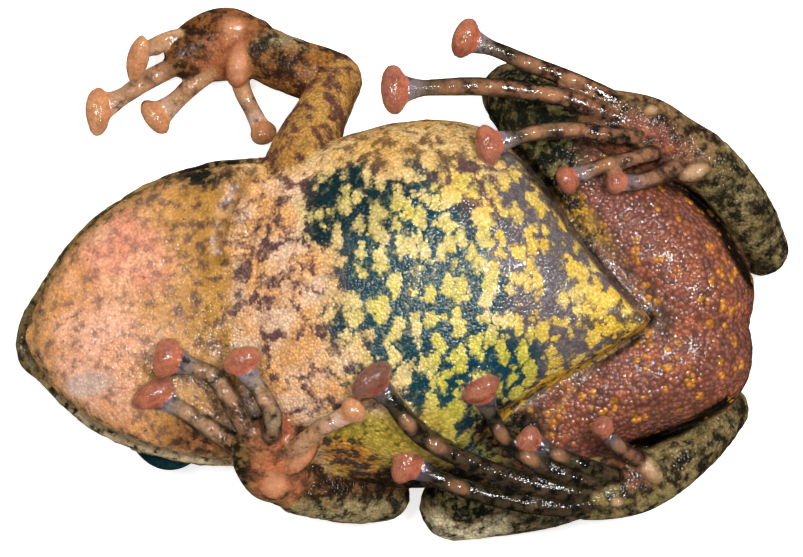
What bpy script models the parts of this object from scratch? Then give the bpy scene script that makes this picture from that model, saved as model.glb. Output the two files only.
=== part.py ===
"""A plump rain frog lying on its back, belly up, at life size.

Sizes are in millimetres and become metres where a mesh is made. +Z is up, towards the belly,
and the frog's back rests on Z = 0. The snout points along -X, and the frog's left side is +Y.
"""

import math

import bpy
import bmesh
from mathutils import Matrix, Vector

MM = 0.001
SEAM = 0.3
NECK_X = -9.2
UP = (0.0, 0.0, 1.0)

# Colours are linear RGB.
SKIN_THROAT = (0.62, 0.34, 0.17)
SKIN_HEAD = (0.24, 0.17, 0.09)
SKIN_BELLY = (0.55, 0.42, 0.12)
SKIN_LIMB = (0.20, 0.14, 0.08)
SKIN_THIGH = (0.27, 0.11, 0.07)
SKIN_DIGIT = (0.42, 0.20, 0.13)
EYE_DARK = (0.01, 0.03, 0.035)

# The head and trunk are read from side outlines along X: (x, value).
MIDLINE = (
    (-22.5, -3.9), (-21.9, -3.55), (-20.0, -3.0), (-17.0, -2.6), (-12.0, -2.3),
    (-6.0, -2.2), (0.0, -2.1), (6.0, -2.2), (12.0, -2.5), (20.6, -2.7),
)
HEAD_HALF_WIDTH = (
    (-22.5, 0.0), (-22.36, 0.95), (-22.1, 1.55), (-21.1, 2.85), (-20.0, 4.3), (-18.5, 5.8),
    (-16.9, 6.9), (-14.8, 7.9), (-12.0, 8.7), (-9.2, 8.95),
)
LIP_LEVEL = ((-22.5, 4.7), (-20.0, 5.1), (-16.0, 5.8), (-13.0, 6.35), (-9.2, 6.9))
CROWN_LEVEL = (
    (-22.5, 4.0), (-22.1, 3.3), (-21.1, 2.6), (-19.0, 1.8), (-16.0, 1.1), (-13.0, 0.7), (-9.2, 0.0),
)
THROAT_LEVEL = (
    (-21.6, 5.7), (-21.0, 6.5), (-20.0, 7.2), (-18.0, 8.0), (-15.0, 8.7), (-12.0, 9.2), (-9.2, 9.9),
)
LIP_OVERHANG = ((-22.5, 0.6), (-19.0, 0.45), (-14.0, 0.38), (-9.2, 0.3))
JAW_TIP_X = -21.85
HEAD_ROLL_DEG = ((-22.5, 6.0), (-13.0, 6.0), (-9.2, 0.0))
ROLL_CENTRE_Z = 6.5

EYE_RADIUS = 2.45
EYE_X = -13.55
EYE_SIDE = 6.2
EYE_LEVEL = 3.35
LID_THICK = 0.45
LID_SHIFT = (0.0, 0.72, 0.3)
NOSTRIL = {"x": -21.2, "side": 1.35, "level": 2.75, "radius": 0.3}
EARDRUM = {"x": -10.4, "side": 8.35, "level": 4.3, "radius": 1.05, "proud": 0.22}

TRUNK = (
    # x, half width, ventral level
    (-9.2, 8.8, 9.9), (-6.0, 9.4, 10.4), (-2.0, 10.1, 10.6), (2.0, 10.3, 10.2), (6.0, 9.5, 9.4),
    (10.0, 7.8, 9.0), (14.0, 6.0, 8.6), (17.0, 4.6, 8.0), (19.3, 2.6, 6.6),
)
TRUNK_WIDEST_Z = 5.2
TRUNK_BACK_Z = -0.35
RUMP_TIP = (20.3, 4.2)
BELLY = (
    # x, mid y, half width, ventral level
    (-8.9, -2.2, 5.5, 9.4), (-8.0, -2.1, 7.7, 10.6), (-6.0, -1.8, 8.6, 11.5), (-3.0, -1.35, 9.45, 12.5),
    (0.7, -1.2, 10.1, 13.1), (3.9, -0.9, 9.6, 13.1), (5.8, -0.4, 8.1, 12.9), (8.0, -0.6, 6.15, 12.4),
    (9.5, -1.3, 4.7, 12.0), (10.9, -1.85, 3.4, 11.6), (12.9, -2.4, 1.6, 11.0), (14.0, -2.7, 0.65, 10.5),
)
BELLY_WIDEST_Z = 7.4
BELLY_FLOOR_Z = 5.4
BELLY_TIP = (14.4, -2.6, 9.6)

# Limb stations are (x, y, z, half width, half depth), from the body outwards.
LIMBS = {
    "upper_arm_left": (
        (-5.8, 4.4, 6.8, 2.7, 2.4), (-5.7, 6.6, 6.4, 2.2, 2.2), (-5.0, 8.7, 5.0, 1.65, 1.7),
        (-4.3, 10.2, 3.7, 1.5, 1.55), (-3.9, 11.2, 2.6, 1.55, 1.6),
    ),
    "forearm_left": (
        (-3.9, 11.4, 2.1, 1.5, 1.6), (-5.0, 11.7, 2.2, 1.65, 1.8), (-6.4, 12.1, 2.3, 1.65, 1.7),
        (-8.2, 12.9, 2.2, 1.6, 1.35),
    ),
    "hand_left": (
        (-8.6, 13.3, 2.0, 1.65, 1.25), (-10.2, 13.45, 1.7, 2.15, 1.15), (-11.8, 13.1, 1.6, 1.95, 1.0),
        (-13.1, 12.75, 1.7, 1.35, 0.8),
    ),
    "upper_arm_right": (
        (-6.2, -8.2, 6.4, 2.6, 2.2), (-4.6, -9.8, 5.4, 2.1, 2.0), (-2.9, -11.3, 3.9, 1.7, 1.7),
        (-1.5, -12.4, 2.6, 1.6, 1.6),
    ),
    "forearm_right": (
        (-1.1, -12.9, 3.6, 1.5, 1.6), (-2.6, -12.8, 4.6, 1.75, 1.7), (-4.4, -12.5, 5.9, 1.8, 1.5),
        (-6.2, -12.3, 7.2, 1.65, 1.2),
    ),
    "hand_right": (
        (-6.55, -12.2, 7.6, 1.5, 1.1), (-7.2, -11.4, 8.5, 2.15, 1.0), (-7.7, -10.2, 9.3, 2.3, 0.9),
        (-8.3, -9.2, 9.9, 1.9, 0.75),
    ),
    "thigh_left": (
        (16.3, -1.2, 4.6, 4.2, 4.4), (14.6, 1.15, 4.7, 4.2, 4.5), (12.4, 3.6, 4.6, 3.9, 4.3),
        (10.0, 6.4, 4.1, 3.4, 3.9), (8.2, 8.6, 3.5, 2.6, 3.0), (7.0, 10.0, 3.0, 2.1, 2.4),
    ),
    "shank_left": (
        (6.5, 10.5, 2.4, 1.9, 2.0), (8.6, 9.9, 2.3, 2.2, 2.3), (11.5, 8.6, 2.3, 2.3, 2.3),
        (15.0, 6.6, 2.2, 1.95, 2.1), (18.2, 4.2, 2.0, 1.7, 1.8), (20.75, 1.95, 1.9, 1.5, 1.6),
    ),
    "tarsus_left": (
        (21.0, 1.4, 2.6, 1.5, 1.5), (20.15, 3.2, 4.2, 1.65, 1.5), (18.9, 5.0, 5.6, 1.7, 1.4),
        (17.7, 6.3, 6.5, 1.75, 1.25),
    ),
    "foot_left": (
        (17.4, 6.6, 6.7, 1.75, 1.15), (15.9, 7.3, 7.3, 1.9, 1.05), (14.1, 8.15, 7.8, 2.15, 0.95),
        (12.2, 8.9, 8.1, 1.85, 0.8), (10.9, 9.5, 8.3, 1.4, 0.65),
    ),
    "thigh_right": (
        (16.2, -4.6, 4.6, 4.2, 4.4), (14.2, -5.4, 4.7, 4.1, 4.5), (11.4, -7.0, 4.6, 3.8, 4.3),
        (8.4, -9.2, 4.1, 3.3, 3.8), (5.6, -11.4, 3.4, 2.6, 2.9), (3.9, -12.8, 2.9, 2.1, 2.3),
    ),
    "shank_right": (
        (3.0, -13.55, 2.3, 2.0, 2.0), (5.2, -13.2, 2.3, 2.15, 2.3), (8.6, -12.5, 2.3, 2.25, 2.3),
        (12.2, -11.4, 2.2, 2.0, 2.1), (15.6, -9.7, 2.0, 1.7, 1.8), (18.45, -7.9, 1.9, 1.5, 1.6),
    ),
    "tarsus_right": (
        (18.7, -7.9, 2.6, 1.5, 1.5), (17.6, -9.2, 4.2, 1.6, 1.5), (16.3, -10.5, 5.6, 1.6, 1.4),
        (15.2, -11.4, 6.5, 1.6, 1.25),
    ),
    "foot_right": (
        (15.0, -11.6, 6.8, 1.6, 1.15), (13.7, -12.0, 7.4, 1.85, 1.05), (12.2, -12.3, 8.0, 1.9, 0.95),
        (10.4, -12.5, 8.4, 1.75, 0.8), (9.0, -12.4, 8.6, 1.3, 0.65),
    ),
}

# A digit is its path from root to tip, the half width of its stalk, its pad's half breadth and half
# length, how far from the tip each knuckle tubercle lies, the way its pad faces, and how many degrees
# the pad is turned on the end of its stalk.
DIGITS = {
    "finger_left_1": {
        "path": ((-9.6, 12.4, 2.2), (-9.4, 10.9, 1.7), (-8.7, 9.4, 1.3), (-7.8, 7.6, 1.2)),
        "stalk": 0.57, "pad": (0.82, 0.7), "knuckles": (2.9,),
    },
    "finger_left_2": {
        "path": ((-11.0, 12.1, 1.9), (-12.3, 11.0, 1.5), (-13.5, 9.9, 1.2), (-15.0, 8.8, 1.2)),
        "stalk": 0.62, "pad": (1.2, 0.65), "knuckles": (3.4,),
    },
    "finger_left_3": {
        "path": (
            (-12.6, 12.5, 1.9), (-13.8, 11.9, 1.6), (-15.1, 11.2, 1.3), (-16.6, 10.2, 1.2), (-18.45, 9.1, 1.3),
        ),
        "stalk": 0.6, "pad": (1.45, 0.75), "knuckles": (3.0, 4.7), "skew": -26,
    },
    "finger_left_4": {
        "path": ((-12.2, 13.8, 1.8), (-13.4, 13.8, 1.9), (-14.6, 13.3, 2.3), (-15.3, 12.8, 3.1), (-15.6, 12.4, 4.3)),
        "stalk": 0.52, "pad": (1.5, 0.6), "knuckles": (2.6,), "faces": (0.94, -0.33, 0.25),
    },
    "finger_right_1": {
        "path": ((-6.6, -10.4, 9.7), (-5.6, -9.6, 10.6), (-4.6, -8.9, 11.6), (-3.4, -8.2, 12.2), (-2.2, -7.5, 12.5)),
        "stalk": 0.55, "pad": (0.85, 0.7), "knuckles": (2.6,),
    },
    "finger_right_2": {
        "path": ((-7.6, -9.4, 10.5), (-7.5, -8.2, 11.3), (-8.0, -7.1, 11.6), (-8.8, -5.9, 11.5), (-9.6, -4.3, 11.3)),
        "stalk": 0.6, "pad": (1.2, 0.75), "knuckles": (3.4,),
    },
    "finger_right_3": {
        "path": (
            (-8.9, -9.2, 10.2), (-9.7, -7.8, 10.5), (-10.3, -6.7, 10.6), (-11.1, -5.8, 10.5),
            (-12.3, -5.3, 10.4), (-14.4, -4.6, 10.2),
        ),
        "stalk": 0.6, "pad": (1.25, 0.8), "knuckles": (3.0, 4.9),
    },
    "finger_right_4": {
        "path": (
            (-9.3, -10.2, 9.5), (-10.6, -9.3, 9.3), (-11.9, -8.4, 9.1), (-13.2, -7.6, 9.0), (-15.0, -6.6, 9.0),
        ),
        "stalk": 0.58, "pad": (1.35, 0.7), "knuckles": (2.9, 4.6), "skew": -30,
    },
    "toe_left_1": {
        "path": ((15.9, 6.2, 8.1), (14.6, 5.6, 9.2), (13.3, 5.3, 9.7), (11.7, 5.3, 9.9)),
        "stalk": 0.55, "pad": (0.72, 0.6), "knuckles": (1.9,),
    },
    "toe_left_2": {
        "path": ((14.6, 7.0, 8.7), (13.1, 6.6, 9.5), (11.7, 6.3, 9.9), (10.4, 5.8, 10.1), (8.9, 5.2, 10.3)),
        "stalk": 0.5, "pad": (0.9, 0.6), "knuckles": (3.2,),
    },
    "toe_left_3": {
        "path": (
            (13.6, 7.9, 8.6), (12.0, 8.0, 9.2), (10.1, 8.3, 9.7), (7.9, 8.2, 10.2), (6.3, 7.8, 10.8),
            (4.2, 7.3, 11.3),
        ),
        "stalk": 0.52, "pad": (1.2, 0.75), "knuckles": (3.6, 5.9),
    },
    "toe_left_4": {
        "path": (
            (12.8, 8.9, 8.4), (11.0, 9.6, 8.8), (8.9, 10.3, 9.1), (5.1, 10.8, 9.5), (2.4, 10.8, 9.8), (-1.3, 10.6, 10.1),
        ),
        "stalk": 0.55, "pad": (1.5, 0.8), "knuckles": (4.1, 6.3, 10.0),
    },
    "toe_left_5": {
        "path": ((12.6, 9.8, 8.3), (11.2, 10.6, 8.5), (9.6, 11.3, 8.7), (7.2, 12.2, 8.9), (5.6, 12.9, 9.0), (2.9, 13.9, 9.2)),
        "stalk": 0.52, "pad": (1.25, 0.75), "knuckles": (4.6, 7.5),
    },
    "toe_right_1": {
        "path": ((14.0, -11.0, 8.1), (13.0, -10.3, 9.2), (12.1, -9.6, 9.8), (11.2, -8.3, 10.1)),
        "stalk": 0.52, "pad": (0.72, 0.6), "knuckles": (2.0,),
    },
    "toe_right_2": {
        "path": ((12.4, -11.7, 8.9), (10.9, -11.2, 9.6), (9.6, -10.7, 10.0), (8.3, -10.1, 10.2), (6.7, -9.2, 10.4)),
        "stalk": 0.5, "pad": (0.85, 0.65), "knuckles": (2.6,),
    },
    "toe_right_3": {
        "path": (
            (11.4, -12.1, 8.9), (9.6, -11.7, 9.4), (7.7, -10.9, 9.9), (5.9, -9.5, 10.5), (5.1, -8.0, 11.2), (4.2, -6.0, 12.2),
        ),
        "stalk": 0.52, "pad": (1.2, 0.75), "knuckles": (3.7, 6.0),
    },
    "toe_right_4": {
        "path": (
            (10.8, -12.6, 8.8), (9.0, -12.5, 9.1), (5.7, -11.6, 9.8), (2.1, -10.0, 11.0), (0.5, -8.8, 11.8),
            (-0.6, -7.4, 12.5), (-2.3, -5.5, 13.2),
        ),
        "stalk": 0.58, "pad": (1.45, 0.8), "knuckles": (4.1, 6.4),
    },
    "toe_right_5": {
        "path": (
            (10.8, -13.3, 8.7), (9.1, -13.5, 8.7), (6.2, -13.1, 8.8), (3.5, -12.4, 9.0), (2.0, -11.8, 9.2), (-0.5, -10.6, 9.6),
        ),
        "stalk": 0.58, "pad": (1.3, 0.8), "knuckles": (4.2,),
    },
}
PAD_FLARE = 1.9
NECK_SHARE = 0.8
NECK_LENGTH = 3.0
DIGIT_DEPTH = 0.86
PAD_DEPTH = 0.52
KNUCKLE_RISE = 0.2
KNUCKLE_LENGTH = 0.5

# Fused cushions on the palms and soles: (x, y, z), half length, half breadth, half height, turn in degrees.
CUSHIONS = {
    "hand_left": (((-9.5, 12.3, 2.7), 1.5, 0.85, 0.6, 80), ((-9.9, 14.3, 2.5), 0.9, 0.8, 0.55, 10)),
    "hand_right": (((-5.9, -10.5, 9.5), 1.4, 0.75, 0.6, 50), ((-7.4, -12.2, 8.8), 0.9, 0.9, 0.5, 0)),
    "foot_left": (((16.9, 5.9, 8.0), 1.05, 0.55, 0.5, 22), ((14.4, 9.5, 8.55), 0.45, 0.35, 0.35, 0)),
    "foot_right": (((14.3, -11.3, 8.3), 1.05, 0.62, 0.5, -50), ((12.4, -13.2, 8.75), 0.45, 0.35, 0.35, 0)),
}

TRUNK_SIDES = 26
HEAD_SIDES = 24
LIMB_SIDES = 14
HAND_SIDES = 12
DIGIT_SIDES = 8


def between(table, x):
    """The value at x of a smooth curve through the table's points, with flat ends."""
    if x <= table[0][0]:
        return table[0][1]
    if x >= table[-1][0]:
        return table[-1][1]
    i = max(k for k in range(len(table) - 1) if table[k][0] <= x)
    slopes = []
    for k in (i, i + 1):
        before, after = table[max(k - 1, 0)], table[min(k + 1, len(table) - 1)]
        slopes.append((after[1] - before[1]) / (after[0] - before[0]))
    (x0, y0), (x1, y1) = table[i], table[i + 1]
    span = x1 - x0
    t = (x - x0) / span
    return (
        y0 * (2 * t**3 - 3 * t**2 + 1) + y1 * (3 * t**2 - 2 * t**3)
        + slopes[0] * span * (t**3 - 2 * t**2 + t) + slopes[1] * span * (t**3 - t**2)
    )


def column(rows, k):
    """Column k of a table as (x, value) pairs."""
    return tuple((row[0], row[k]) for row in rows)


def spread(start, end, step):
    """Places from start to end, evenly spaced and about step apart."""
    count = max(1, round((end - start) / step))
    return [start + (end - start) * k / count for k in range(count + 1)]


def rounded(cosine, power):
    """A cosine bent towards a square by a superellipse's power."""
    return math.copysign(abs(cosine) ** (2.0 / power), cosine)


def slice_ring(x, mid, half_width, waist, top, bottom, powers, sides, roll=0.0):
    """One cross-section at x: a superellipse whose upper and lower halves differ, rolled about the body's axis."""
    points = []
    for k in range(sides):
        angle = 2 * math.pi * k / sides
        c, s = math.cos(angle), math.sin(angle)
        power, reach = (powers[0], top - waist) if s >= 0 else (powers[1], waist - bottom)
        side = half_width * rounded(c, power)
        level = waist + reach * rounded(s, power) - ROLL_CENTRE_Z
        points.append(
            Vector((
                x,
                mid + side * math.cos(roll) + level * math.sin(roll),
                ROLL_CENTRE_Z + level * math.cos(roll) - side * math.sin(roll),
            ))
        )
    return points


def head_place(x, side, level):
    """A place given by its distance from the head's midline and its level, turned with the head's roll."""
    roll = math.radians(between(HEAD_ROLL_DEG, x))
    height = level - ROLL_CENTRE_Z
    return Vector((
        x,
        between(MIDLINE, x) + side * math.cos(roll) + height * math.sin(roll),
        ROLL_CENTRE_Z + height * math.cos(roll) - side * math.sin(roll),
    ))


def mean(points):
    return sum(points, Vector()) / len(points)


def smooth_path(stations, step):
    """Stations about step apart on a Catmull-Rom curve through the given ones."""
    rows = [tuple(row) for row in stations]
    padded = [tuple(2 * a - b for a, b in zip(rows[0], rows[1]))] + rows
    padded.append(tuple(2 * a - b for a, b in zip(rows[-1], rows[-2])))
    made = []
    for i in range(1, len(padded) - 2):
        p0, p1, p2, p3 = padded[i - 1 : i + 3]
        parts = max(1, round((Vector(p2[:3]) - Vector(p1[:3])).length / step))
        for k in range(parts):
            t = k / parts
            made.append(tuple(
                0.5 * (2 * b + (c - a) * t + (2 * a - 5 * b + 4 * c - d) * t**2 + (3 * b - a - 3 * c + d) * t**3)
                for a, b, c, d in zip(p0, p1, p2, p3)
            ))
    made.append(rows[-1])
    return made


def frames(points, up):
    """Across and up directions at each point of a path, square to the path."""
    made = []
    for i, point in enumerate(points):
        along = (points[min(i + 1, len(points) - 1)] - points[max(i - 1, 0)]).normalized()
        across = Vector(up).cross(along).normalized()
        made.append((along, across, along.cross(across)))
    return made


def oval(centre, across, up, half_width, depth_up, depth_down, sides):
    """An oval ring whose upper half may be deeper than its lower."""
    points = []
    for k in range(sides):
        angle = 2 * math.pi * k / sides
        depth = depth_up if math.sin(angle) > 0 else depth_down
        points.append(centre + across * half_width * math.cos(angle) + up * depth * math.sin(angle))
    return points


def mesh_object(name, bm, colour, roughness=0.45):
    """Turns a mesh in millimetres into an object in metres with its own finish."""
    bmesh.ops.recalc_face_normals(bm, faces=bm.faces)
    bm.transform(Matrix.Scale(MM, 4))
    mesh = bpy.data.meshes.new(name)
    bm.to_mesh(mesh)
    bm.free()
    mesh.shade_smooth()
    finish = bpy.data.materials.new(name)
    finish.use_nodes = True
    shader = finish.node_tree.nodes["Principled BSDF"]
    shader.inputs["Base Color"].default_value = (*colour, 1.0)
    shader.inputs["Roughness"].default_value = roughness
    mesh.materials.append(finish)
    made = bpy.data.objects.new(name, mesh)
    bpy.context.scene.collection.objects.link(made)
    return made


def shell(name, rings, first, last, colour):
    """A closed skin over a row of rings, drawn to a point at each end."""
    bm = bmesh.new()
    loops = [[bm.verts.new(point) for point in ring] for ring in rings]
    sides = len(loops[0])
    for a, b in zip(loops, loops[1:]):
        for i in range(sides):
            j = (i + 1) % sides
            bm.faces.new((a[i], a[j], b[j], b[i]))
    start, end = bm.verts.new(first), bm.verts.new(last)
    for i in range(sides):
        j = (i + 1) % sides
        bm.faces.new((start, loops[0][j], loops[0][i]))
        bm.faces.new((end, loops[-1][i], loops[-1][j]))
    return mesh_object(name, bm, colour)


def limb(name, stations, sides, colour, step=1.4, grow=0.0, up=UP):
    """A round-ended limb through its stations. Grow makes a fatter copy, to cut a seat for it."""
    rows = smooth_path(stations, step)
    points = [Vector(row[:3]) for row in rows]
    turned = frames(points, up)
    rings = []
    for (along, across, upward), point, row in zip(turned, points, rows):
        half_width, depth = row[3] + grow, row[4] + grow
        rings.append(oval(point, across, upward, half_width, depth, depth, sides))
    ends = []
    for index, way in ((0, -1), (-1, 1)):
        along, across, upward = turned[index]
        half_width, depth = rows[index][3] + grow, rows[index][4] + grow
        reach = min(half_width, depth)
        cap = [
            oval(
                points[index] + along * way * reach * math.sin(turn), across, upward,
                half_width * math.cos(turn), depth * math.cos(turn), depth * math.cos(turn), sides,
            )
            for turn in (math.radians(35), math.radians(65))
        ]
        ends.append((cap, points[index] + along * way * reach))
    (start_cap, start), (end_cap, end) = ends
    return shell(name, start_cap[::-1] + rings + end_cap, start, end, colour)


def pad_profile(to_tip, stalk, breadth, length):
    """Half width of a digit at a distance from its tip: a broad pad, a flare, a slim neck, then the stalk."""
    stalk *= NECK_SHARE + (1 - NECK_SHARE) * min(1.0, max(0.0, to_tip - 2 * length) / NECK_LENGTH)
    inside = 1 - ((to_tip - length) / length) ** 2
    pad = breadth * math.sqrt(max(inside, 0.0))
    flare = stalk + (0.8 * breadth - stalk) * max(0.0, 1 - max(to_tip - length, 0.0) / PAD_FLARE) ** 1.5
    if to_tip < length:
        return pad
    return max(pad, flare, stalk)


def digit_rows(digit, grow):
    """(point, half width, depth above, depth below) along a digit."""
    stalk = digit["stalk"]
    breadth, length = digit["pad"]
    path = [Vector(p) for p in smooth_path(digit["path"], 0.25)]
    lengths = [0.0]
    for a, b in zip(path, path[1:]):
        lengths.append(lengths[-1] + (b - a).length)
    total = lengths[-1]
    near_tip = [0.06, 0.3, 0.7, 1.1, 1.6, 2.1, 2.8]
    wanted = [total - d * length for d in near_tip]
    wanted += [k for k in spread(0.0, wanted[-1], 1.1)[:-1]]
    rows = []
    for place in sorted(wanted):
        i = max(k for k in range(len(lengths) - 1) if lengths[k] <= place + 1e-9)
        share = (place - lengths[i]) / (lengths[i + 1] - lengths[i])
        to_tip = total - place
        rise = sum(
            KNUCKLE_RISE * math.exp(-(((to_tip - k) / KNUCKLE_LENGTH) ** 2)) for k in digit["knuckles"]
        )
        tip_round = math.sqrt(max(0.0, 1 - max(0.0, 1 - to_tip / length) ** 2))
        depth = (stalk * DIGIT_DEPTH if to_tip > 2 * length else max(stalk * DIGIT_DEPTH, PAD_DEPTH)) * tip_round
        rows.append((
            path[i].lerp(path[i + 1], share),
            pad_profile(to_tip, stalk, breadth, length) + grow,
            depth + rise + grow,
            depth + grow,
        ))
    return rows


def digit_solid(name, digit, colour, grow=0.0):
    rows = digit_rows(digit, grow)
    points = [row[0] for row in rows]
    turned = frames(points, digit.get("faces", UP))
    length = digit["pad"][1]
    rings = []
    for (along, across, upward), point, row in zip(turned, points, rows):
        to_tip = (points[-1] - point).length
        share = min(1.0, max(0.0, 1.0 - (to_tip - 2 * length) / PAD_FLARE))
        slant = math.radians(digit.get("skew", 0) * share)
        slanted = across * math.cos(slant) - along * math.sin(slant)
        rings.append(oval(point, slanted, upward, row[1], row[2], row[3], DIGIT_SIDES))
    root = points[0] - turned[0][0] * (0.8 * digit["stalk"] + grow)
    root_ring = oval(
        points[0] - turned[0][0] * (0.5 * digit["stalk"] + grow), turned[0][1], turned[0][2],
        0.75 * rows[0][1], 0.75 * rows[0][2], 0.75 * rows[0][3], DIGIT_SIDES,
    )
    tip = points[-1] + turned[-1][0] * (0.06 * digit["pad"][1] + grow)
    return shell(name, [root_ring] + rings, root, tip, colour)


def bead(name, centre, radii, colour=EYE_DARK, turn_deg=0.0, rows=8, columns=12):
    """An ellipsoid turned about Z."""
    bm = bmesh.new()
    bmesh.ops.create_uvsphere(bm, u_segments=columns, v_segments=rows, radius=1.0)
    bm.transform(
        Matrix.Translation(centre) @ Matrix.Rotation(math.radians(turn_deg), 4, "Z") @ Matrix.Diagonal((*radii, 1.0))
    )
    return mesh_object(name, bm, colour)


def largest_shell(bm):
    """Keeps only the largest closed surface of a mesh."""
    left, shells = set(bm.faces), []
    while left:
        seed = left.pop()
        group, front = {seed}, [seed]
        while front:
            for edge in front.pop().edges:
                if len(edge.link_faces) != 2:
                    continue
                for face in edge.link_faces:
                    if face in left:
                        left.discard(face)
                        group.add(face)
                        front.append(face)
        shells.append(group)
    keep = max(shells, key=len)
    bmesh.ops.delete(bm, geom=[f for f in bm.faces if f not in keep], context="FACES")


def apply_boolean(target, operation, others, solver="EXACT"):
    """Joins to or cuts from target a set of helper solids, and removes the helpers."""
    group = bpy.data.collections.new("helpers")
    bpy.context.scene.collection.children.link(group)
    for helper in others:
        bpy.context.scene.collection.objects.unlink(helper)
        group.objects.link(helper)
        helper.hide_render = True
        helper.display_type = "WIRE"
    modifier = target.modifiers.new(operation.lower(), "BOOLEAN")
    modifier.operation = operation
    modifier.operand_type = "COLLECTION"
    modifier.collection = group
    modifier.solver = solver
    bpy.context.view_layer.update()
    graph = bpy.context.evaluated_depsgraph_get()
    result = bpy.data.meshes.new_from_object(target.evaluated_get(graph), depsgraph=graph)
    target.modifiers.clear()
    old, target.data = target.data, result
    bpy.data.meshes.remove(old)
    for helper in others:
        bpy.data.objects.remove(helper)
    bpy.data.collections.remove(group)
    bm = bmesh.new()
    bm.from_mesh(result)
    bmesh.ops.remove_doubles(bm, verts=bm.verts, dist=0.004 * MM)
    largest_shell(bm)
    bm.to_mesh(result)
    bm.free()
    return target


def flatten_on_floor(target):
    """Cuts the flat that the piece rests on, where it reaches the floor."""
    bm = bmesh.new()
    bm.from_mesh(target.data)
    if min(v.co.z for v in bm.verts) < 0.0:
        geometry = bm.verts[:] + bm.edges[:] + bm.faces[:]
        cut = bmesh.ops.bisect_plane(bm, geom=geometry, plane_co=(0, 0, 0), plane_no=(0, 0, -1), clear_outer=True)
        rim = [e for e in cut["geom_cut"] if isinstance(e, bmesh.types.BMEdge)]
        bmesh.ops.edgenet_fill(bm, edges=rim)
        bmesh.ops.recalc_face_normals(bm, faces=bm.faces)
        bm.to_mesh(target.data)
    bm.free()


def head_solid():
    """Skull and upper jaw. Its underside is the flat of the mouth."""
    stations = [-22.36, -22.1, -21.6] + spread(-21.1, NECK_X - SEAM, 1.3)
    rings = [
        slice_ring(
            x, between(MIDLINE, x), between(HEAD_HALF_WIDTH, x), between(LIP_LEVEL, x) - 0.5,
            between(LIP_LEVEL, x), between(CROWN_LEVEL, x), (3.4, 2.5), HEAD_SIDES,
            math.radians(between(HEAD_ROLL_DEG, x)),
        )
        for x in stations
    ]
    tip = head_place(-22.5, 0.0, between(LIP_LEVEL, -22.5) - 0.35)
    return shell("head", rings, tip, mean(rings[-1]), SKIN_HEAD)


def jaw_solid():
    """Lower jaw and throat, set back inside the upper lip."""
    stations = spread(JAW_TIP_X, -20.6, 0.3) + spread(-20.0, NECK_X - SEAM, 1.3)
    rings = []
    for x in stations:
        tip_round = math.sqrt(1 - max(0.0, 1 - (x - JAW_TIP_X + 0.1) / 1.6) ** 2)
        half_width = max(between(HEAD_HALF_WIDTH, x) - between(LIP_OVERHANG, x), 0.6) * tip_round
        lip = between(LIP_LEVEL, x) + SEAM
        rings.append(
            slice_ring(
                x, between(MIDLINE, x), half_width, lip + 0.35, between(THROAT_LEVEL, x), lip,
                (2.2, 3.4), HEAD_SIDES, math.radians(between(HEAD_ROLL_DEG, x)),
            )
        )
    return shell("lower_jaw", rings, mean(rings[0]) - Vector((0.12, 0, 0)), mean(rings[-1]), SKIN_THROAT)


def eye_place(side):
    return head_place(EYE_X, side * EYE_SIDE, EYE_LEVEL)


def dress_head(head):
    """Adds the lid domes and eardrums, then cuts the sockets and nostrils."""
    extras = []
    for side in (-1, 1):
        shift = Vector((LID_SHIFT[0], -side * LID_SHIFT[1], -LID_SHIFT[2]))
        lid = EYE_RADIUS + LID_THICK
        extras.append(bead("lid", eye_place(side) + shift, (lid * 1.08, lid, lid * 0.98), rows=10, columns=16))
        drum = head_place(EARDRUM["x"], side * EARDRUM["side"], EARDRUM["level"])
        extras.append(bead("drum", drum, (EARDRUM["radius"], 2 * EARDRUM["proud"], EARDRUM["radius"]), rows=6, columns=12))
    apply_boolean(head, "UNION", extras)
    cutters = []
    for side in (-1, 1):
        socket = EYE_RADIUS + SEAM
        cutters.append(bead("socket", eye_place(side), (socket,) * 3, rows=11, columns=18))
        pit = head_place(NOSTRIL["x"], side * NOSTRIL["side"], NOSTRIL["level"])
        cutters.append(bead("nostril", pit, (1.3 * NOSTRIL["radius"],) + (NOSTRIL["radius"],) * 2, rows=6, columns=8))
    apply_boolean(head, "DIFFERENCE", cutters)


def torso_solid():
    """Back, flanks and rump, with the belly's fuller sack over them ending in its fold."""
    rings = [
        slice_ring(
            x, between(MIDLINE, x), between(column(TRUNK, 1), x), TRUNK_WIDEST_Z,
            between(column(TRUNK, 2), x), TRUNK_BACK_Z, (2.3, 2.7), TRUNK_SIDES,
        )
        for x in spread(NECK_X, TRUNK[-1][0], 2.0)
    ]
    rump = (RUMP_TIP[0], between(MIDLINE, RUMP_TIP[0]), RUMP_TIP[1])
    torso = shell("torso", rings, mean(rings[0]), rump, SKIN_BELLY)
    sack = []
    for x in spread(BELLY[0][0], BELLY[-1][0], 1.8):
        sack.append(
            slice_ring(
                x, between(column(BELLY, 1), x), between(column(BELLY, 2), x), BELLY_WIDEST_Z,
                between(column(BELLY, 3), x), BELLY_FLOOR_Z, (2.2, 2.0), TRUNK_SIDES,
            )
        )
    belly = shell("belly", sack, mean(sack[0]), BELLY_TIP, SKIN_BELLY)
    return apply_boolean(torso, "UNION", [belly])


def limb_sides(name):
    return HAND_SIDES if name.startswith(("hand", "foot")) else LIMB_SIDES


def cushions(name, grow=0.0):
    """The fused cushions of a palm or sole."""
    return [
        bead("cushion", place, (long + grow, broad + grow, high + grow), turn_deg=turn, rows=5, columns=8)
        for place, long, broad, high, turn in CUSHIONS.get(name, ())
    ]


def grown(name):
    """Helper solids for cutting a seat, one seam wider than the named limb or digit."""
    if name in LIMBS:
        return [limb("seat", LIMBS[name], limb_sides(name), SKIN_LIMB, grow=SEAM)] + cushions(name, SEAM)
    return [digit_solid("seat", DIGITS[name], SKIN_DIGIT, grow=SEAM)]


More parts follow.
